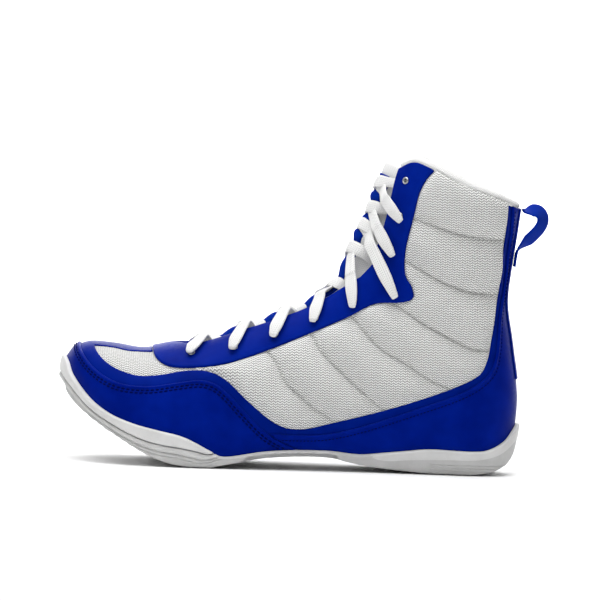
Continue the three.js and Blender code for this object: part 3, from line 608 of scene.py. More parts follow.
# ---------------- materials
class Nodes:
    """A material's node tree, with short calls for the nodes that the finishes share."""

    def __init__(self, name):
        self.material = bpy.data.materials.new(name)
        self.material.use_nodes = True
        self.tree = self.material.node_tree
        self.shader = self.tree.nodes["Principled BSDF"]

    def add(self, kind, inputs=None, **settings):
        node = self.tree.nodes.new("ShaderNode" + kind)
        for key, value in settings.items():
            setattr(node, key, value)
        for key, value in (inputs or {}).items():
            if isinstance(value, bpy.types.NodeSocket):
                self.tree.links.new(value, node.inputs[key])
            else:
                node.inputs[key].default_value = value
        return node

    def math(self, operation, a, b=0.0, c=0.0):
        return self.add("Math", {0: a, 1: b, 2: c}, operation=operation).outputs[0]

    def noise(self, vector, scale, detail=3.0, roughness=0.55):
        values = {"Vector": vector, "Scale": scale, "Detail": detail, "Roughness": roughness}
        return self.add("TexNoise", values).outputs["Fac"]

    def cells(self, vector, scale):
        return self.add("TexVoronoi", {"Vector": vector, "Scale": scale}).outputs["Distance"]

    def remap(self, value, low, high, from_low=0.0, from_high=1.0):
        values = {"Value": value, "From Min": from_low, "From Max": from_high, "To Min": low, "To Max": high}
        return self.add("MapRange", values).outputs["Result"]

    def blend(self, factor, a, b):
        node = self.add("Mix", {"Factor": factor}, data_type="RGBA")
        for socket, value in ((node.inputs[6], a), (node.inputs[7], b)):
            if isinstance(value, bpy.types.NodeSocket):
                self.tree.links.new(value, socket)
            else:
                socket.default_value = (*value, 1)
        return node.outputs[2]

    def place(self):
        """Places on the object, in mm."""
        place = self.add("TexCoord").outputs["Object"]
        return self.add("VectorMath", {0: place, 3: 1000.0}, operation="SCALE").outputs[0]

    def cloth(self):
        """Places on the cloth, in mm: along and across."""
        fabric = self.add("Attribute", attribute_name="fabric").outputs["Vector"]
        return self.add("SeparateXYZ", {0: fabric}).outputs[:2]

    def finish(self, colour, roughness, height, depth, **sockets):
        """Sets the shader from a colour, a roughness and a height in 0 to 1 that stands for depth in mm."""
        self.tree.links.new(colour, self.shader.inputs["Base Color"])
        self.tree.links.new(roughness, self.shader.inputs["Roughness"])
        bump = self.add("Bump", {"Height": height, "Strength": 1.0, "Distance": depth * MM})
        self.tree.links.new(bump.outputs[0], self.shader.inputs["Normal"])
        for name, value in sockets.items():
            self.shader.inputs[name.replace("_", " ")].default_value = value
        return self.material


BLUE_SHINE = (0.02, 0.12, 1, 1)


def synthetic(name, light, dark):
    """Blue synthetic leather: fine pebbled grain, satin, a little uneven."""
    n = Nodes(name)
    place = n.place()
    grain = n.math("ADD", n.math("MULTIPLY", n.cells(place, 1.9), 0.5), n.noise(place, 1.1, 5.0, 0.6))
    uneven = n.remap(n.noise(place, 0.05, 2.0), 0, 1, 0.35, 0.65)
    colour = n.blend(uneven, dark, light)
    roughness = n.remap(n.noise(place, 0.4, 4.0), 0.36, 0.5, 0.3, 0.7)
    return n.finish(colour, roughness, grain, 0.035, Specular_IOR_Level=0.05, Specular_Tint=BLUE_SHINE)


def knit(name, light, dark, wale=1.3, course=2.2, depth=0.16, sheen=0.25):
    """Knitted mesh: wales that zigzag from course to course, with painted shade in the gap beside each loop.
    """
    n = Nodes(name)
    x, y = n.cloth()
    place = n.place()
    wander = n.math("MULTIPLY", n.math("SUBTRACT", n.noise(place, 0.35, 2.0), 0.5), 0.35)
    row = n.math("DIVIDE", n.math("ADD", x, wander), course)
    zigzag = n.math("ABSOLUTE", n.math("SUBTRACT", n.math("FRACT", row), 0.5))
    phase = n.math("ADD", n.math("DIVIDE", n.math("ADD", y, wander), wale), n.math("MULTIPLY", zigzag, 1.3))
    wave = n.math("SINE", n.math("MULTIPLY", phase, 2 * math.pi))
    loops = n.remap(wave, 0, 1, -1, 1)
    turns = n.math("ABSOLUTE", n.math("SINE", n.math("MULTIPLY", row, 2 * math.pi)))
    height = n.math("MULTIPLY", n.math("POWER", loops, 0.7), n.remap(turns, 0.45, 1.0, 0, 0.6))
    fuzz = n.noise(place, 3.0, 3.0)
    # Painted shade: the colour goes from light to dark where the weave lies low, with a little random fuzz
    # tone in it.
    shade = n.math("MULTIPLY", n.remap(height, 0.0, 1.0, 0, 0.75), n.remap(fuzz, 0.92, 1.0))
    colour = n.blend(shade, dark, light)
    roughness = n.remap(fuzz, 0.85, 0.98)
    return n.finish(colour, roughness, height, depth, Sheen_Weight=sheen, Specular_IOR_Level=0.2)


def braid(name, light, dark, rib=1.1, slant=1.0, depth=0.14, sheen=0.2, tint=(1, 1, 1, 1)):
    """Braided or ribbed tape: yarns that lean from the middle to both edges, with painted shade between them.
    """
    n = Nodes(name)
    x, y = n.cloth()
    place = n.place()
    leaning = n.math("ADD", n.math("DIVIDE", x, rib), n.math("MULTIPLY", n.math("ABSOLUTE", y), slant))
    yarn = n.math("ABSOLUTE", n.math("SINE", n.math("MULTIPLY", leaning, math.pi)))
    strand = n.math("ABSOLUTE", n.math("SINE", n.math("MULTIPLY", y, math.pi / 1.2)))
    fuzz = n.noise(place, 4.0, 3.0)
    height = n.math("ADD", n.math("MULTIPLY", yarn, 0.55), n.math("MULTIPLY", strand, 0.35))
    # Painted shade: the colour goes from light to dark in the grooves between yarns, with a little random
    # fuzz tone in it.
    shade = n.math("MULTIPLY", n.remap(height, 0.1, 1.0, 0.05, 0.6), n.remap(fuzz, 0.9, 1.0))
    return n.finish(n.blend(shade, dark, light), n.remap(fuzz, 0.8, 0.95), height, depth,
                    Sheen_Weight=sheen, Specular_IOR_Level=0.2, Specular_Tint=tint)


def moulded(name, light, dark, low=0.5, high=0.66, depth=0.02):
    """Moulded rubber or plastic: fine matte texture, with a little dust in it."""
    n = Nodes(name)
    place = n.place()
    dust = n.remap(n.noise(place, 0.08, 4.0, 0.6), 0, 1, 0.35, 0.7)
    return n.finish(n.blend(dust, light, dark), n.remap(n.noise(place, 0.7, 4.0), low, high, 0.3, 0.7),
                    n.noise(place, 5.0, 2.0), depth, Specular_IOR_Level=0.4)


def satin_metal(name, light, dark):
    n = Nodes(name)
    place = n.place()
    n.shader.inputs["Metallic"].default_value = 1.0
    return n.finish(n.blend(n.noise(place, 0.8, 3.0), dark, light), n.remap(n.noise(place, 2.0), 0.22, 0.4),
                    n.noise(place, 6.0, 2.0), 0.01)


blue_panel = synthetic("blue_synthetic", (0.0006, 0.0115, 0.235), (0.0002, 0.008, 0.185))
blue_eyestay = synthetic("blue_eyestay", (0.001, 0.0145, 0.25), (0.0004, 0.010, 0.2))
blue_band = synthetic("blue_band", (0.0008, 0.013, 0.225), (0.0003, 0.009, 0.175))
# In each knit and braid below, the second colour is the painted shade in the low gaps of the weave.
blue_thread = braid("blue_thread", (0.0004, 0.006, 0.13), (0.0002, 0.002, 0.06), rib=0.5, depth=0.05,
                    sheen=0.0, tint=BLUE_SHINE)
blue_webbing = braid("blue_webbing", (0.001, 0.022, 0.3), (0.0004, 0.008, 0.12), rib=0.9, slant=0.7,
                     sheen=0.0, tint=BLUE_SHINE)
white_mesh = knit("white_mesh", (0.93, 0.93, 0.915), (0.19, 0.19, 0.187), wale=1.55, course=2.8, depth=0.35)
white_lining = knit("white_lining", (0.80, 0.80, 0.79), (0.45, 0.45, 0.45), wale=1.0, course=1.6, depth=0.1)
white_binding = knit("white_binding", (0.93, 0.93, 0.92), (0.6, 0.6, 0.59), wale=1.3, course=2.2, depth=0.22)
white_tongue = knit("white_tongue", (0.88, 0.88, 0.87), (0.6, 0.6, 0.6), wale=1.1, course=1.6, depth=0.1)
white_lace = braid("white_lace", (0.93, 0.93, 0.92), (0.3, 0.3, 0.29), rib=1.6, slant=0.8, depth=0.4)
white_rubber = moulded("white_rubber", (0.56, 0.56, 0.555), (0.49, 0.49, 0.485))
white_band = moulded("white_foxing", (0.68, 0.68, 0.675), (0.61, 0.61, 0.60))
grey_footbed = knit("grey_footbed", (0.30, 0.32, 0.35), (0.12, 0.13, 0.15), wale=0.9, course=1.4, depth=0.08)
fibre_board = moulded("fibre_board", (0.5, 0.38, 0.24), (0.36, 0.27, 0.16), 0.75, 0.9, 0.05)
stiffener_sheet = moulded("stiffener_sheet", (0.62, 0.55, 0.42), (0.5, 0.43, 0.32), 0.7, 0.85, 0.03)
eyelet_metal = satin_metal("eyelet_metal", (0.62, 0.64, 0.66), (0.42, 0.43, 0.45))
aglet_film = moulded("aglet_film", (0.72, 0.74, 0.76), (0.6, 0.62, 0.64), 0.2, 0.3, 0.01)

# ---------------- camera, lights and floor
camera_data = bpy.data.cameras.new("camera")
camera = linked("camera", camera_data)
bpy.context.scene.camera = camera
VIEW_WIDTH = 0.3785  # metres across the frame at the boot
LENS, SENSOR = 400.0, 36.0
ELEVATION, ROLL = math.radians(2.5), math.radians(2.15)
target = Vector((-0.0008, 0, 0.1051))
camera_data.lens, camera_data.sensor_width = LENS, SENSOR
distance = VIEW_WIDTH * LENS / SENSOR
back = Vector((0, -math.cos(ELEVATION), math.sin(ELEVATION)))
camera.location = target + back * distance
camera.rotation_mode = "QUATERNION"
camera.rotation_quaternion = (-back).to_track_quat("-Z", "Y") @ Quaternion((0, 0, 1), ROLL)

bpy.context.scene.view_settings.view_transform = "Standard"
world = bpy.data.worlds.new("studio")
bpy.context.scene.world = world
world.use_nodes = True
world.node_tree.nodes["Background"].inputs["Color"].default_value = (1, 1, 1, 1)
world.node_tree.nodes["Background"].inputs["Strength"].default_value = 0.15


def area_light(name, place, aim, size, energy):
    data = bpy.data.lights.new(name, "AREA")
    data.shape, data.size, data.size_y, data.energy = "RECTANGLE", *size, energy
    light = linked(name, data)
    light.location = place
    light.rotation_mode = "QUATERNION"
    light.rotation_quaternion = (Vector(aim) - Vector(place)).to_track_quat("-Z", "Y")


area_light("top_softbox", (-0.1, -0.2, 1.3), (0, 0, 0.05), (1.4, 1.2), 23)
area_light("front_softbox", (-0.5, -1.5, 1.0), (0, 0, 0.08), (1.0, 1.0), 4.2)
area_light("back_softbox", (0.4, 0.9, 0.9), (0, 0, 0.1), (1.2, 0.6), 4)
area_light("wall_light", (0, 2.6, 3.2), (0, 5.2, 1.0), (4.8, 1.0), 400)

# The floor turns up into a wall, further back than the camera stands.
PAPER, WALL_Y, BEND = 6.0, 5.2, 1.6
floor_mesh = bpy.data.meshes.new("floor")
bend = [(WALL_Y - BEND * (1 - math.sin(b)), BEND * (1 - math.cos(b))) for b in np.linspace(0, np.pi / 2, 13)]
paper = [(-PAPER, 0.0), *bend, (WALL_Y, PAPER)]
floor_mesh.from_pydata([(x, y, cad_low.z - 0.0002 + z) for y, z in paper for x in (-PAPER, PAPER)], [],
                       [(2 * i, 2 * i + 1, 2 * i + 3, 2 * i + 2) for i in range(len(paper) - 1)])
floor_mesh.polygons.foreach_set("use_smooth", np.ones(len(floor_mesh.polygons), bool))
floor_plane = linked("floor", floor_mesh)
floor_nodes = Nodes("floor_paper")
on_paper = floor_nodes.place()
floor_mesh.materials.append(floor_nodes.finish(
    floor_nodes.blend(floor_nodes.noise(on_paper, 0.01), (0.93, 0.93, 0.93), (0.95, 0.95, 0.95)),
    floor_nodes.remap(floor_nodes.noise(on_paper, 0.2), 0.8, 0.9), floor_nodes.noise(on_paper, 1.0), 0.01))

# ---------------- upper: mesh, lining and stiffeners
shell_zone = meet(on_floor, under_collar, throat, holes)
LAP = 0.6  # the hind piece of a seam is laid over the front one, so that no slit shows
behind_seam = side(VAMP_SEAM) + LAP
window = meet(mesh_low, -eyestay_zone, under_collar)

channel_distance = np.min([np.abs(side(c)) for c in CHANNELS], 0)
CROWN = 6.4
CHANNEL_DEPTH = 1.1
CHANNEL_HALF = 1.6
edge_fade = 1 - np.exp(-np.maximum(window, 0) / 4.0)
crown = edge_fade * CROWN * (1 - np.exp(-(channel_distance / 8.0) ** 1.15))
channel = np.where(window > -0.5, channel_distance, FAR)
for node, zone in (("quarter_lateral", lateral), ("quarter_medial", medial)):
    quarter = panel(node + "_quilted", meet(shell_zone, behind_seam, zone), QUARTER, crown,
                    creases=[(channel, -CHANNEL_DEPTH, CHANNEL_HALF)])
    finished(quarter, white_mesh, "mesh_white", node)

vamp_cloth = np.stack([P[:, 0], ARC], 1)
vamp = panel("vamp_mesh_knit", np.minimum(shell_zone, -side(VAMP_SEAM)), QUARTER, 0.4 * edge_fade,
             cloth=vamp_cloth)
finished(vamp, white_mesh, "mesh_white", "vamp_mesh")
lining = panel("lining_cloth", shell_zone, LINING, cloth=vamp_cloth)
finished(lining, white_lining, "lining_white", "lining")
for node, zone in (("toe_puff", -side(PUFF_EDGE)),
                   ("heel_counter", -side(COUNTER_EDGE, (FAR, -40), (FAR, 112)))):
    stiffener = panel(node + "_sheet", np.minimum(zone, on_floor), STIFFENER)
    finished(stiffener, stiffener_sheet, "stiffener", node)

# ---------------- upper: blue overlays
over_floor = above(FLOOR, OVERLAY[1]) - GAP
underlay_zone = meet(np.maximum(-mesh_low, toe_strip), over_floor, under_binding,
                     -side(moved(EYESTAY_EDGE, -GAP), (-FAR, 90), (96, FAR), EYESTAY[1]))
seam = side(UNDERLAY_SEAM)
mudguard_field = meet(mudguard_zone, over_floor, under_binding)
RIDGE = (0.5, 1.2)  # height and half width of the turned edge of an overlay
behind_mudguard = side(moved(MUDGUARD_EDGE, GAP), (-FAR, 84), (FAR, 6), OVERLAY[1])
heel_field = meet(heel_zone, behind_mudguard, over_floor, under_binding)
backstay_field = meet(BACKSTAY_WIDTH / 2 - np.abs(P[:, 1]), P[:, 0] - 100, P[:, 2] - 60, under_binding)
eyestay_field = meet(eyestay_zone, under_binding, throat, holes)
for node, field, layer, material, edge in (
        ("mudguard_underlay", np.minimum(underlay_zone, -seam), UNDERLAY, blue_band, None),
        ("heel_underlay", np.minimum(underlay_zone, seam + LAP), UNDERLAY, blue_band, None),
        ("mudguard", mudguard_field, OVERLAY, blue_panel, mudguard_zone),
        ("heel_overlay", heel_field, OVERLAY, blue_panel, heel_zone),
        ("backstay", backstay_field, BACKSTAY, blue_panel, None),
        ("eyestay_lateral", np.minimum(eyestay_field, lateral), EYESTAY, blue_eyestay, None),
        ("eyestay_medial", np.minimum(eyestay_field, medial), EYESTAY, blue_eyestay, None)):
    turned_edge = () if edge is None else [(edge - RIDGE[1], *RIDGE)]
    skin = panel(node + "_skin", field, layer, creases=turned_edge)
    finished(skin, material, "synthetic_blue", node)

# ---------------- sewing
above_sole = side(moved(SOLE_TOP, 1.0), (-FAR, 90), (FAR, 46))
SEAMS = (("mudguard", mudguard_zone, mudguard_field, (3.0, 4.7), (2.5, 3.1, 0.5)),
         ("heel_overlay", heel_zone, heel_field, (3.6,), (1.6, 2.3, 0.36)))
for name, zone_field, panel_field, levels, (length, pitch, radius) in SEAMS:
    for k, level in enumerate(levels):
        rows = isoline(zone_field, level, (panel_field > 0.1) & (above_sole > 0))
        thread = stitches(f"{name}_stitch_row_{k + 1}", rows, OVERLAY[1], length, pitch, radius,
                          phase=0.5 + 0.4 * k)
        finished(thread, blue_thread, "synthetic_blue")

# ---------------- sole
# Under the arch the wall is only a lip, and the base stands back from it.
ARCH_LIP, ARCH_RECESS = 1.7, 7.0


def arch(x):
    """1 under the arch, 0 under ball and heel."""
    return smooth_step(x, -50, -30) * (1 - smooth_step(x, 24, 44))


below_top = below(SOLE_TOP, CUP_OUTER)
sole_band = meet(above(SOLE_BOTTOM, CUP_OUTER), below_top, ARCH_LIP + 30 * (1 - arch(P[:, 0])) - below_top)


def band_zone(line, room):
    """The zone above a parting line, between its ends."""
    ends = np.minimum(P[:, 0] - line[0][0] + room, line[-1][0] + room - P[:, 0])
    return np.minimum(side(moved(line, -room), (-FAR, line[0][1]), (FAR, line[-1][1]), CUP_OUTER), ends)


WALL = (CUP_INNER, CUP_OUTER)
toe_path = np.concatenate([[(-FAR, 80)], TOE_PARTING, [(FAR, 9.5)]])
toe_line = -nearest((P + N * CUP_OUTER)[:, [0, 2]], toe_path)[0]
# Lines round the toe: distance below the parting, height (negative for a groove) and half width.
TOE_LINES = ((2.6, 0.8, 1.0), (4.0, -0.8, 0.7), (6.2, -0.7, 0.7))
HEEL_GROOVES = (2.4, 4.4, 6.4)  # heights above the ground
spread = np.interp(P[:, 0], [-150, -120, -90, -60, -50], [0.45, 0.6, 1.0, 1.1, 0.6])
in_toe = P[:, 0] < -46
in_heel = (P[:, 0] > 84) & (P[:, 0] < 131)
sole_height = P[:, 2] + CUP_OUTER * N[:, 2]
sole_lines = [(np.where(in_toe, toe_line - drop * spread, FAR), *shape) for drop, *shape in TOE_LINES]
sole_lines += [(np.where(in_heel, sole_height - z, FAR), -0.45, 0.55) for z in HEEL_GROOVES]
outsole_wall = panel("outsole_wall", np.minimum(sole_band, -band_zone(TOE_PARTING, GAP)), WALL, radius=0.8,
                     creases=sole_lines)
finished(outsole_wall, white_rubber, "rubber_white", "outsole")
# The toe band lies in the wall with a groove below it. The heel band stands only a little proud of it.
for node, line, layer, radius in (("toe_foxing", TOE_PARTING, WALL, 1.1),
                                  ("heel_foxing", HEEL_PARTING, (CUP_OUTER - 1.0, CUP_OUTER + 0.2), 0.8)):
    band = panel(node + "_band", np.minimum(sole_band, band_zone(line, 0)), layer, radius=radius)
    finished(band, white_band, "rubber_white", node)


def border(level_of, offset):
    """Where the form at an offset crosses a level line in side view: rows x, lateral y, medial y."""
    shifted = P + N * offset
    field = shifted[:, 2] - np.interp(shifted[:, 0], *level_of)
    lines = isoline(field, 0, (STATION[:, 1] < 250) & (np.abs(field) < 25))
    chain = max(lines, key=lambda pair: len(pair[0]))
    points = chain[0] + chain[1] * offset
    tip, back = np.argmin(points[:, 0]), np.argmax(points[:, 0])
    points = np.roll(points, -tip, 0)
    back = (back - tip) % len(points)
    one, other = points[:back + 1], points[back:]
    other = np.concatenate([other, points[:1]])[::-1]
    low, high = points[:, 0].min() + 0.02, points[:, 0].max() - 0.02
    x = low + (high - low) * (1 - np.cos(np.linspace(0, np.pi, 421))) / 2
    sides = [np.interp(x, np.maximum.accumulate(part[:, 0]), part[:, 1]) for part in (one, other)]
    return x, np.minimum(*sides), np.maximum(*sides)


def slab_between(name, edge, low_of, high_of, across=96, rim=1.2):
    """A closed slab between two heights, inside an edge of rows x, lateral y, medial y."""
    x, lateral_y, medial_y = edge
    t = (1 - np.cos(np.linspace(0, np.pi, across + 1))) / 2
    y = lateral_y[:, None] + (medial_y - lateral_y)[:, None] * t
    xx = np.repeat(x[:, None], across + 1, 1)
    inset = meet(y - lateral_y[:, None], medial_y[:, None] - y, xx - x[0], x[-1] - xx)
    share = np.clip(inset / rim, 0, 1)
    lift = rim * (1 - np.sqrt(1 - (1 - share) ** 2)) * 0.5
    top = np.stack([xx, y, high_of(xx, y) - lift], -1)
    bottom = np.stack([xx, y, low_of(xx, y) + lift], -1)
    flat = np.concatenate([top.reshape(-1, 3), bottom.reshape(-1, 3)])[:, :2]
    return double_sheet(name, top, bottom, flat, upward=False)


def bottom_height(x):
    return np.interp(x, *SOLE_BOTTOM.T)


def over_foot_floor(lift):
    return lambda x, _y: np.interp(x, *FLOOR.T) + lift


def tread(x, y):
    """The ground side: fine zigzag ribs under ball and heel, with a smooth pivot round at the ball."""
    zigzag = np.abs(((y / 9.0) % 1) - 0.5) * 5.0
    groove = np.clip(1.6 * np.abs(np.sin(np.pi * (x + zigzag) / 5.2)) - 0.5, 0, 1)
    pivot = np.hypot(x + 66, y - 6)
    groove = np.where(pivot < 17, np.clip(1.5 * np.abs(np.sin(np.pi * pivot / 5.0)) - 0.4, 0, 1), groove)
    grounded = np.clip((3.5 - bottom_height(x)) / 2.5, 0, 1) + np.clip((-70 - x) / 20, 0, 1)
    return bottom_height(x) + 0.15 + 0.9 * (1 - groove) * np.clip(grounded, 0, 1)


sole_x, sole_lateral, sole_medial = border((SOLE_BOTTOM[:, 0], SOLE_BOTTOM[:, 1] + 0.3), CUP_OUTER - 0.45)
recess = ARCH_RECESS * arch(sole_x)
sole_edge = (sole_x, sole_lateral + recess, sole_medial - recess)
outsole_base = slab_between("outsole_base", sole_edge, tread, lambda x, y: np.maximum(
    over_foot_floor(-0.3)(x, y), bottom_height(x) + 0.5))
finished(outsole_base, white_rubber, "rubber_white")
BOARD_LEVEL, FOOTBED_LEVEL = (0.3, 2.1), (2.4, 6.0)
board_edge = border((FLOOR[:, 0], FLOOR[:, 1] + 1.2), -5.1)
board = slab_between("insole_board_sheet", board_edge, *map(over_foot_floor, BOARD_LEVEL), 40, 0.6)
finished(board, fibre_board, "board", "insole_board")
bed_edge = border((FLOOR[:, 0], FLOOR[:, 1] + 4.2), -5.4)
footbed = slab_between("footbed_foam", bed_edge, *map(over_foot_floor, FOOTBED_LEVEL), 60, 1.8)
finished(footbed, grey_footbed, "footbed", "footbed")

# ---------------- collar
COLLAR_DROP = 2.1  # of the roll's middle below the collar line
COLLAR_MIDDLE = -2.4
COLLAR_ROLL = (4.3, 3.0)  # half width over the edge, half height
COLLAR_TAPER = 4.5  # length of its rounded ends
COLLAR_SIDES = 40
collar_lines = isoline(side(moved(COLLAR_TOP, -COLLAR_DROP), (-FAR, 190), (FAR, 160)), 0, throat > -0.5)


def collar_roll():
    """The padded roll along the collar line, tapered at the throat."""
    points, normals = max(collar_lines, key=lambda pair: len(pair[0]))
    run = run_along(points)
    steps = np.linspace(0.6, run[-1] - 0.6, 420)
    centre, outward = spaced(steps, run, points), unit(spaced(steps, run, normals))
    along = unit(np.gradient(centre, axis=0))
    upward = np.cross(outward, along)
    upward *= np.sign(upward[:, 2:3])
    outward = np.cross(along, upward) * np.sign((np.cross(along, upward) * outward).sum(1))[:, None]
    around = full_turn(COLLAR_SIDES)
    from_end = np.clip(np.minimum(steps, run[-1] - steps) / COLLAR_TAPER, 0, 1)
    taper = np.sqrt(np.clip(1 - (1 - from_end) ** 2, 0.03, 1))
    puff = 1 + 0.05 * np.sin(steps / 9.0) * np.sin(steps / 3.7)
    section = (COLLAR_ROLL[0] * np.cos(around)[:, None] * outward[:, None]
               + COLLAR_ROLL[1] * np.sin(around)[:, None] * upward[:, None])
    rings = (centre + outward * COLLAR_MIDDLE)[:, None] + (taper * puff)[:, None, None] * section
    cloth = np.stack([np.repeat(steps, COLLAR_SIDES), np.tile(around * 3.6, len(steps))], 1)
    if ((np.cross(outward, upward) * along).sum(1)).mean() < 0:
        rings = rings[::-1]
        cloth = cloth.reshape(len(steps), COLLAR_SIDES, 2)[::-1].reshape(-1, 2)
    return sweep("collar_binding_roll", rings, cloth)


collar = collar_roll()
finished(collar, white_binding, "binding_white", "collar_binding")

# ---------------- tongue
INSTEP_BULGE, SHAFT_BULGE, BULGE_WIDTH = 4.0, 8.0, 0.95
PRESSED = 2.2  # the tongue's middle stands this far above the model's between hump and lace
HUMPS = 3.2  # and this much more between two crossings of the lace


def angle_at(u, half_width):
    half = station(u)[..., 4]
    return np.arcsin(np.minimum(half_width / half, 1) ** (TOP_ROUNDNESS / 2))


def bulge(u, angle):
    width = BULGE_WIDTH * angle_at(u, np.interp(u, THROAT[:, 0], THROAT[:, 1]))
    share = np.minimum(np.abs(angle) / width, 1)
    height = INSTEP_BULGE + (SHAFT_BULGE - INSTEP_BULGE) * smooth_step(u, 9, 12)
    return height * smooth_step(u, 5.3, 6.6) * (1 + np.cos(np.pi * share)) / 2


eyelet_rows = np.array([u for u, _angle in eyelet_places])


def hump(u, y):
    """How far the tongue stands above the model's, by station and distance from its middle line."""
    phase = np.interp(u, eyelet_rows, np.arange(len(eyelet_rows)))
    between = (1 + np.cos(2 * np.pi * phase)) / 2
    fade = smooth_step(u, 5.4, 6.4)
    return fade * (PRESSED * np.exp(-(y / 5.5) ** 2) + HUMPS * between * np.exp(-(y / 9.0) ** 2))


def tongue_strip(name, rows, low, high, count, across, extra_edge):
    """A padded strip along the throat, with a rolled border: rows of station and half width."""
    rows = np.asarray(rows, float)
    u = np.linspace(rows[0, 0], rows[-1, 0], count)
    half = np.interp(u, rows[:, 0], rows[:, 1])
    v = np.sin(np.linspace(-np.pi / 2, np.pi / 2, across + 1))
    y = half[:, None] * v
    angle = np.sign(y) * angle_at(u[:, None], np.abs(y))
    uu = np.repeat(u[:, None], across + 1, 1)
    length = run_along(surface(u, 0 * u)[0])
    inset = np.minimum(half[:, None] - np.abs(y), np.minimum(length, length[-1] - length)[:, None])
    share = np.clip(inset / extra_edge, 0, 1)
    roll = np.sqrt(np.maximum(1 - (1 - share) ** 2, 0))
    middle = low + (high - low) * 0.4
    rise = bulge(uu, angle) + hump(uu, y)
    top = surface(uu, angle, middle + (high - middle) * roll + rise)[0]
    bottom = surface(uu, angle, middle + (low - middle) * roll + bulge(uu, angle))[0]
    cloth = np.stack([np.repeat(length, across + 1), y.ravel()], 1)
    return double_sheet(name, top, bottom, np.concatenate([cloth, cloth]))


TONGUE_SPREAD = 9
tongue_rows = [[5.36, 9]] + [[u, w + TONGUE_SPREAD] for u, w in THROAT if 6 <= u <= 17] + \
    [[17.6, 27], [17.9, 24], [18.1, 19], [18.22, 11]]
tongue = tongue_strip("tongue_padded", tongue_rows, *TONGUE, 260, 64, 3.2)
finished(tongue, white_tongue, "tongue_white", "tongue", body="tongue")
panel_rows = [[u, 4 + (u - 6) / 3] for u in range(6, 18)] + [[17.6, 7]]
tongue_panel = tongue_strip("tongue_panel_webbing", panel_rows, -8.2, -6.9, 260, 24, 0.7)
finished(tongue_panel, blue_webbing, "textile_blue", "tongue_panel", body="tongue")

# ---------------- eyelets
BORE, BARREL, FLANGE, LIFT = 1.2, 1.6, 2.3, 0.25
EYELET_SIDES = 40


def revolve(name, profile, places, sides=EYELET_SIDES):
    """One mesh of the same turned profile (radius, height) at several places with axes."""
    turn = full_turn(sides)
    verts, faces = [], []
    for place, axis in places:
        axis = unit(axis)
        first = unit(np.cross(axis, (0, 0, 1.0) if abs(axis[2]) < 0.9 else (1.0, 0, 0)))
        second = np.cross(axis, first)
        base = sum(len(v) for v in verts)
        for radius, height in profile:
            verts.append(place + axis * height + radius * (np.cos(turn)[:, None] * first
                                                           + np.sin(turn)[:, None] * second))
        faces += ring_faces(len(profile), sides, base, closed=True)
    return make_mesh(name, np.concatenate(verts), faces, sharp=50)


eyelet_top = EYESTAY[1] + LIFT
eyelet_foot = QUARTER[0] - 0.6
flange_profile = [(BORE, eyelet_foot), (BARREL, eyelet_foot)] + [(r, eyelet_top + h) for r, h in (
    (BARREL, -0.3), (FLANGE - 0.25, -0.3), (FLANGE, -0.1), (FLANGE - 0.1, 0.2), (FLANGE - 0.45, 0.42),
    (FLANGE - 0.8, 0.38), (BORE + 0.12, 0.15), (BORE, -0.2))]
for sign, name in ((1, "lateral"), (-1, "medial")):
    spots = [surface(u, sign * a) for u, a in eyelet_places]
    rings_mesh = revolve(f"eyelets_{name}_turned", flange_profile, spots)
    finished(rings_mesh, eyelet_metal, "eyelet_metal",
             *[f"eyelet_{name}_{i + 1}" for i in range(len(EYELETS))])

# ---------------- lace
LACE_WIDTH, LACE_THICKNESS, LACE_SIDES = 8.0, 1.9, 24
GATHERED = (2.0, 1.6)
LOW_CROSSING, HIGH_CROSSING = -4.0, -2.1
OPEN_REACH = 6.3
THICK_OVER = LACE_OVER + 0.35


def lace_spot(place, offset, width=LACE_WIDTH, thickness=LACE_THICKNESS):
    u, angle = place
    point, normal = surface(u, angle, offset + float(bulge(u, angle)))
    return [*point, *normal, width, thickness]


def mix(a, b, f):
    return (a[0] + (b[0] - a[0]) * f, a[1] + (b[1] - a[1]) * f)


def through_eyelet(place, ahead):
    """Up through the eyelet, then round over the back of its flange."""
    behind = mix(place, ahead, -0.045)
    return [lace_spot(place, d, *GATHERED) for d in (LACE_UNDER, -3.7, 2.0)] + \
        [lace_spot(behind, THICK_OVER + 0.3, 4.2, 2.0)]


def strap(start, end, crossing):
    shares = np.linspace(0, 1, 101)
    places = [mix(start, end, f) for f in shares]
    us = np.array([u for u, _a in places])
    limit = angle_at(us, np.interp(us, THROAT[:, 0], THROAT[:, 1]))
    open_shares = shares[np.abs([a for _u, a in places]) < limit]
    length = np.linalg.norm(surface(*start)[0] - surface(*end)[0])
    clear, reach = 3.0 / length, OPEN_REACH / length
    leave, arrive = open_shares[0] + clear, open_shares[-1] - clear
    # share of the way, height over the form, width and thickness where they aren't the plain lace's
    profile = [(0.01, THICK_OVER + 0.6, 6.8, 2.3), (0.07, THICK_OVER + 0.6, 8.2, 2.2),
               ((0.1 + leave) / 2, THICK_OVER), (leave, LACE_OVER), (0.5 - reach, crossing + 0.3),
               (0.5, crossing), (0.5 + reach, crossing),
               ((0.5 + reach + arrive) / 2, 0.65 * crossing + 0.35 * LACE_UNDER, 6.6, 1.2),
               (arrive, LACE_UNDER, 6.0, 1.0), (arrive + clear, LACE_UNDER, 6.0, 1.0),
               (0.92, LACE_UNDER, 5.0, 1.0)]
    return [lace_spot(mix(start, end, share), *spot) for share, *spot in profile]


def half_lace(first):
    spots, sign = [], first
    for row in range(len(eyelet_places) - 1):
        here, other = eyelet_places[row], eyelet_places[row + 1]
        start, end = (here[0], sign * here[1]), (other[0], -sign * other[1])
        spots += through_eyelet(start, end) + strap(start, end, LOW_CROSSING if sign > 0 else HIGH_CROSSING)
        sign = -sign
    return spots


TAIL = ((17.1, 1.12), (16.7, 1.24), (16.2, 1.34), (15.6, 1.42), (15, 1.48), (14.4, 1.52), (13.8, 1.55),
        (13.2, 1.57))


def tail(sign):
    return [lace_spot((u, sign * a), LACE_UNDER - 0.4 * i, 6.0 - 0.4 * i, 1.0 + 0.1 * i) for i, (u, a) in
            enumerate(TAIL)]


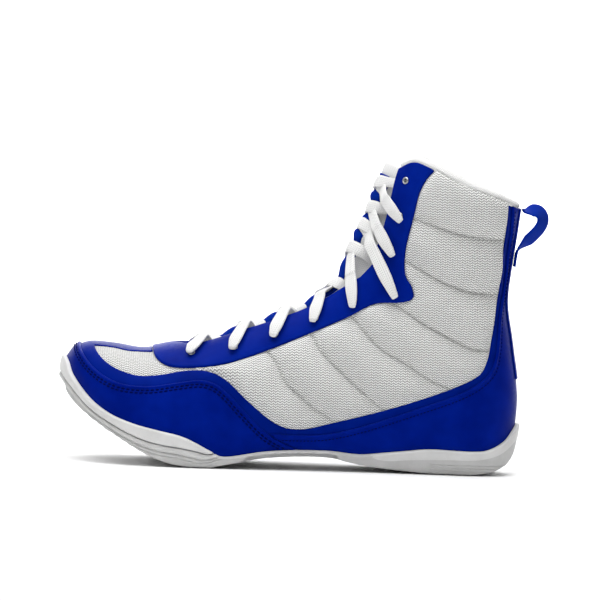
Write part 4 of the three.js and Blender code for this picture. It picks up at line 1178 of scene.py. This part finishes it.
first_row = eyelet_places[0]
bar = [lace_spot(mix((first_row[0], -first_row[1]), first_row, f), d, 5.8, 1.0) for f, d in (
    (0.12, LACE_UNDER), (0.3, LACE_UNDER), (0.42, LOW_CROSSING), (0.58, LOW_CROSSING), (0.7, LACE_UNDER),
    (0.88, LACE_UNDER))]
lace_spots = tail(-1)[::-1] + half_lace(-1)[::-1] + bar + half_lace(1) + tail(1)


def lace_tape(spots):
    """A flat tape through spots of place, normal, width and thickness. It turns with the normals."""
    path = curve(spots, 7)
    centre, normal, width, thickness = path[:, :3], path[:, 3:6], path[:, 6], path[:, 7]
    tangent = unit(np.gradient(centre, axis=0))
    flats, previous = [], None
    for n, t in zip(normal, tangent):
        steep = abs(np.dot(n, t)) > 0.75
        seed = previous if steep and previous is not None else n
        flat = unit(seed - np.dot(seed, t) * t)
        if previous is not None:
            if np.dot(flat, previous) < 0:
                flat = -flat
            flat = 0.45 * previous + 0.55 * flat
            flat = unit(flat - np.dot(flat, t) * t)
        flats.append(flat)
        previous = flat
    flat = np.array(flats)
    across = np.cross(tangent, flat)
    turn = full_turn(LACE_SIDES)
    lace_c, lace_s = squared(np.cos(turn), 0.75), squared(np.sin(turn), 0.75)
    rings = (centre[:, None] + across[:, None] * (width[:, None] / 2 * lace_c)[..., None]
             + flat[:, None] * (thickness[:, None] / 2 * lace_s)[..., None])
    lace_run = run_along(centre)
    cloth = np.stack([np.repeat(lace_run, LACE_SIDES), np.tile(LACE_WIDTH / 2 * lace_c, len(path))], 1)
    return sweep("lace_braided", rings, cloth)


lace = lace_tape(lace_spots)
finished(lace, white_lace, "lace_white", "lace")

AGLET = ((0.4, 0), (1.5, 0.15), (1.7, 0.8), (1.62, 2.5), (1.7, 4.0), (1.7, 17.5), (1.55, 18.9), (1.0, 19.8),
         (0.2, 20))
for name, last, before in (("aglet_medial", lace_spots[0], lace_spots[1]),
                           ("aglet_lateral", lace_spots[-1], lace_spots[-2])):
    axis = unit(np.array(last[:3]) - np.array(before[:3]))
    tip = revolve(name + "_tube", AGLET, [(np.array(last[:3]) + GAP * axis, axis)], 24)
    finished(tip, aglet_film, "aglet_clear", name)

# ---------------- heel pull loop
back_u = LAST - np.arange(121) * 0.04
back_line = surface(back_u, np.pi + 0 * back_u, BACKSTAY[1])[0]


def heel_x(height):
    return np.interp(height, back_line[::-1, 2], back_line[::-1, 0])


# One webbing strap: sewn flat at its upper end, standing off the heel as a loop, sewn flat again below.
# Rows of distance out from the backstay and height.
SEWN = 1.2
STRAP = [(SEWN, 167.6), (SEWN, 166.8), (1.7, 166.2), (3.4, 166.2), (6.6, 166.8), (10.6, 166.4), (13.6, 163.6),
         (14.5, 159.6), (13.0, 155.2), (9.6, 150.6), (5.9, 146.6), (2.6, 143.0), (1.4, 140.6), (SEWN, 138),
         (SEWN, 134.5), (SEWN, 131)]
STRAP_SIDES = 32
TWIST = 0.55  # radians that the loop turns about its own line at its far end


def heel_strap():
    """The webbing along STRAP, leaning over by TWIST where it stands off the heel."""
    line = curve([[heel_x(h) + out, h] for out, h in STRAP], 10)
    strap_out = curve(STRAP, 10)[:, 0] - SEWN
    step = unit(np.gradient(line, axis=0))
    facing = np.stack([-step[:, 1], step[:, 0]], 1)
    turn = full_turn(STRAP_SIDES)
    wide = LOOP_WIDTH / 2 * squared(np.cos(turn), 0.35)
    thick = LOOP_THICKNESS / 2 * squared(np.sin(turn), 0.8)
    lean = TWIST * np.clip(strap_out / 6, 0, 1)[:, None]
    lift = np.cos(lean) * thick + np.sin(lean) * wide
    across = np.cos(lean) * wide - np.sin(lean) * thick
    rings = np.stack([line[:, None, 0] + facing[:, None, 0] * lift, across,
                      line[:, None, 1] + facing[:, None, 1] * lift], -1)
    cloth = np.stack([np.repeat(run_along(line), STRAP_SIDES), np.tile(wide, len(line))], 1)
    return sweep("pull_loop_webbing", rings, cloth)


loop = heel_strap()
loop.data.materials.append(blue_webbing)
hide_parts("pull_loop", "pull_loop_upper_end", "pull_loop_lower_end")
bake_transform(loop)
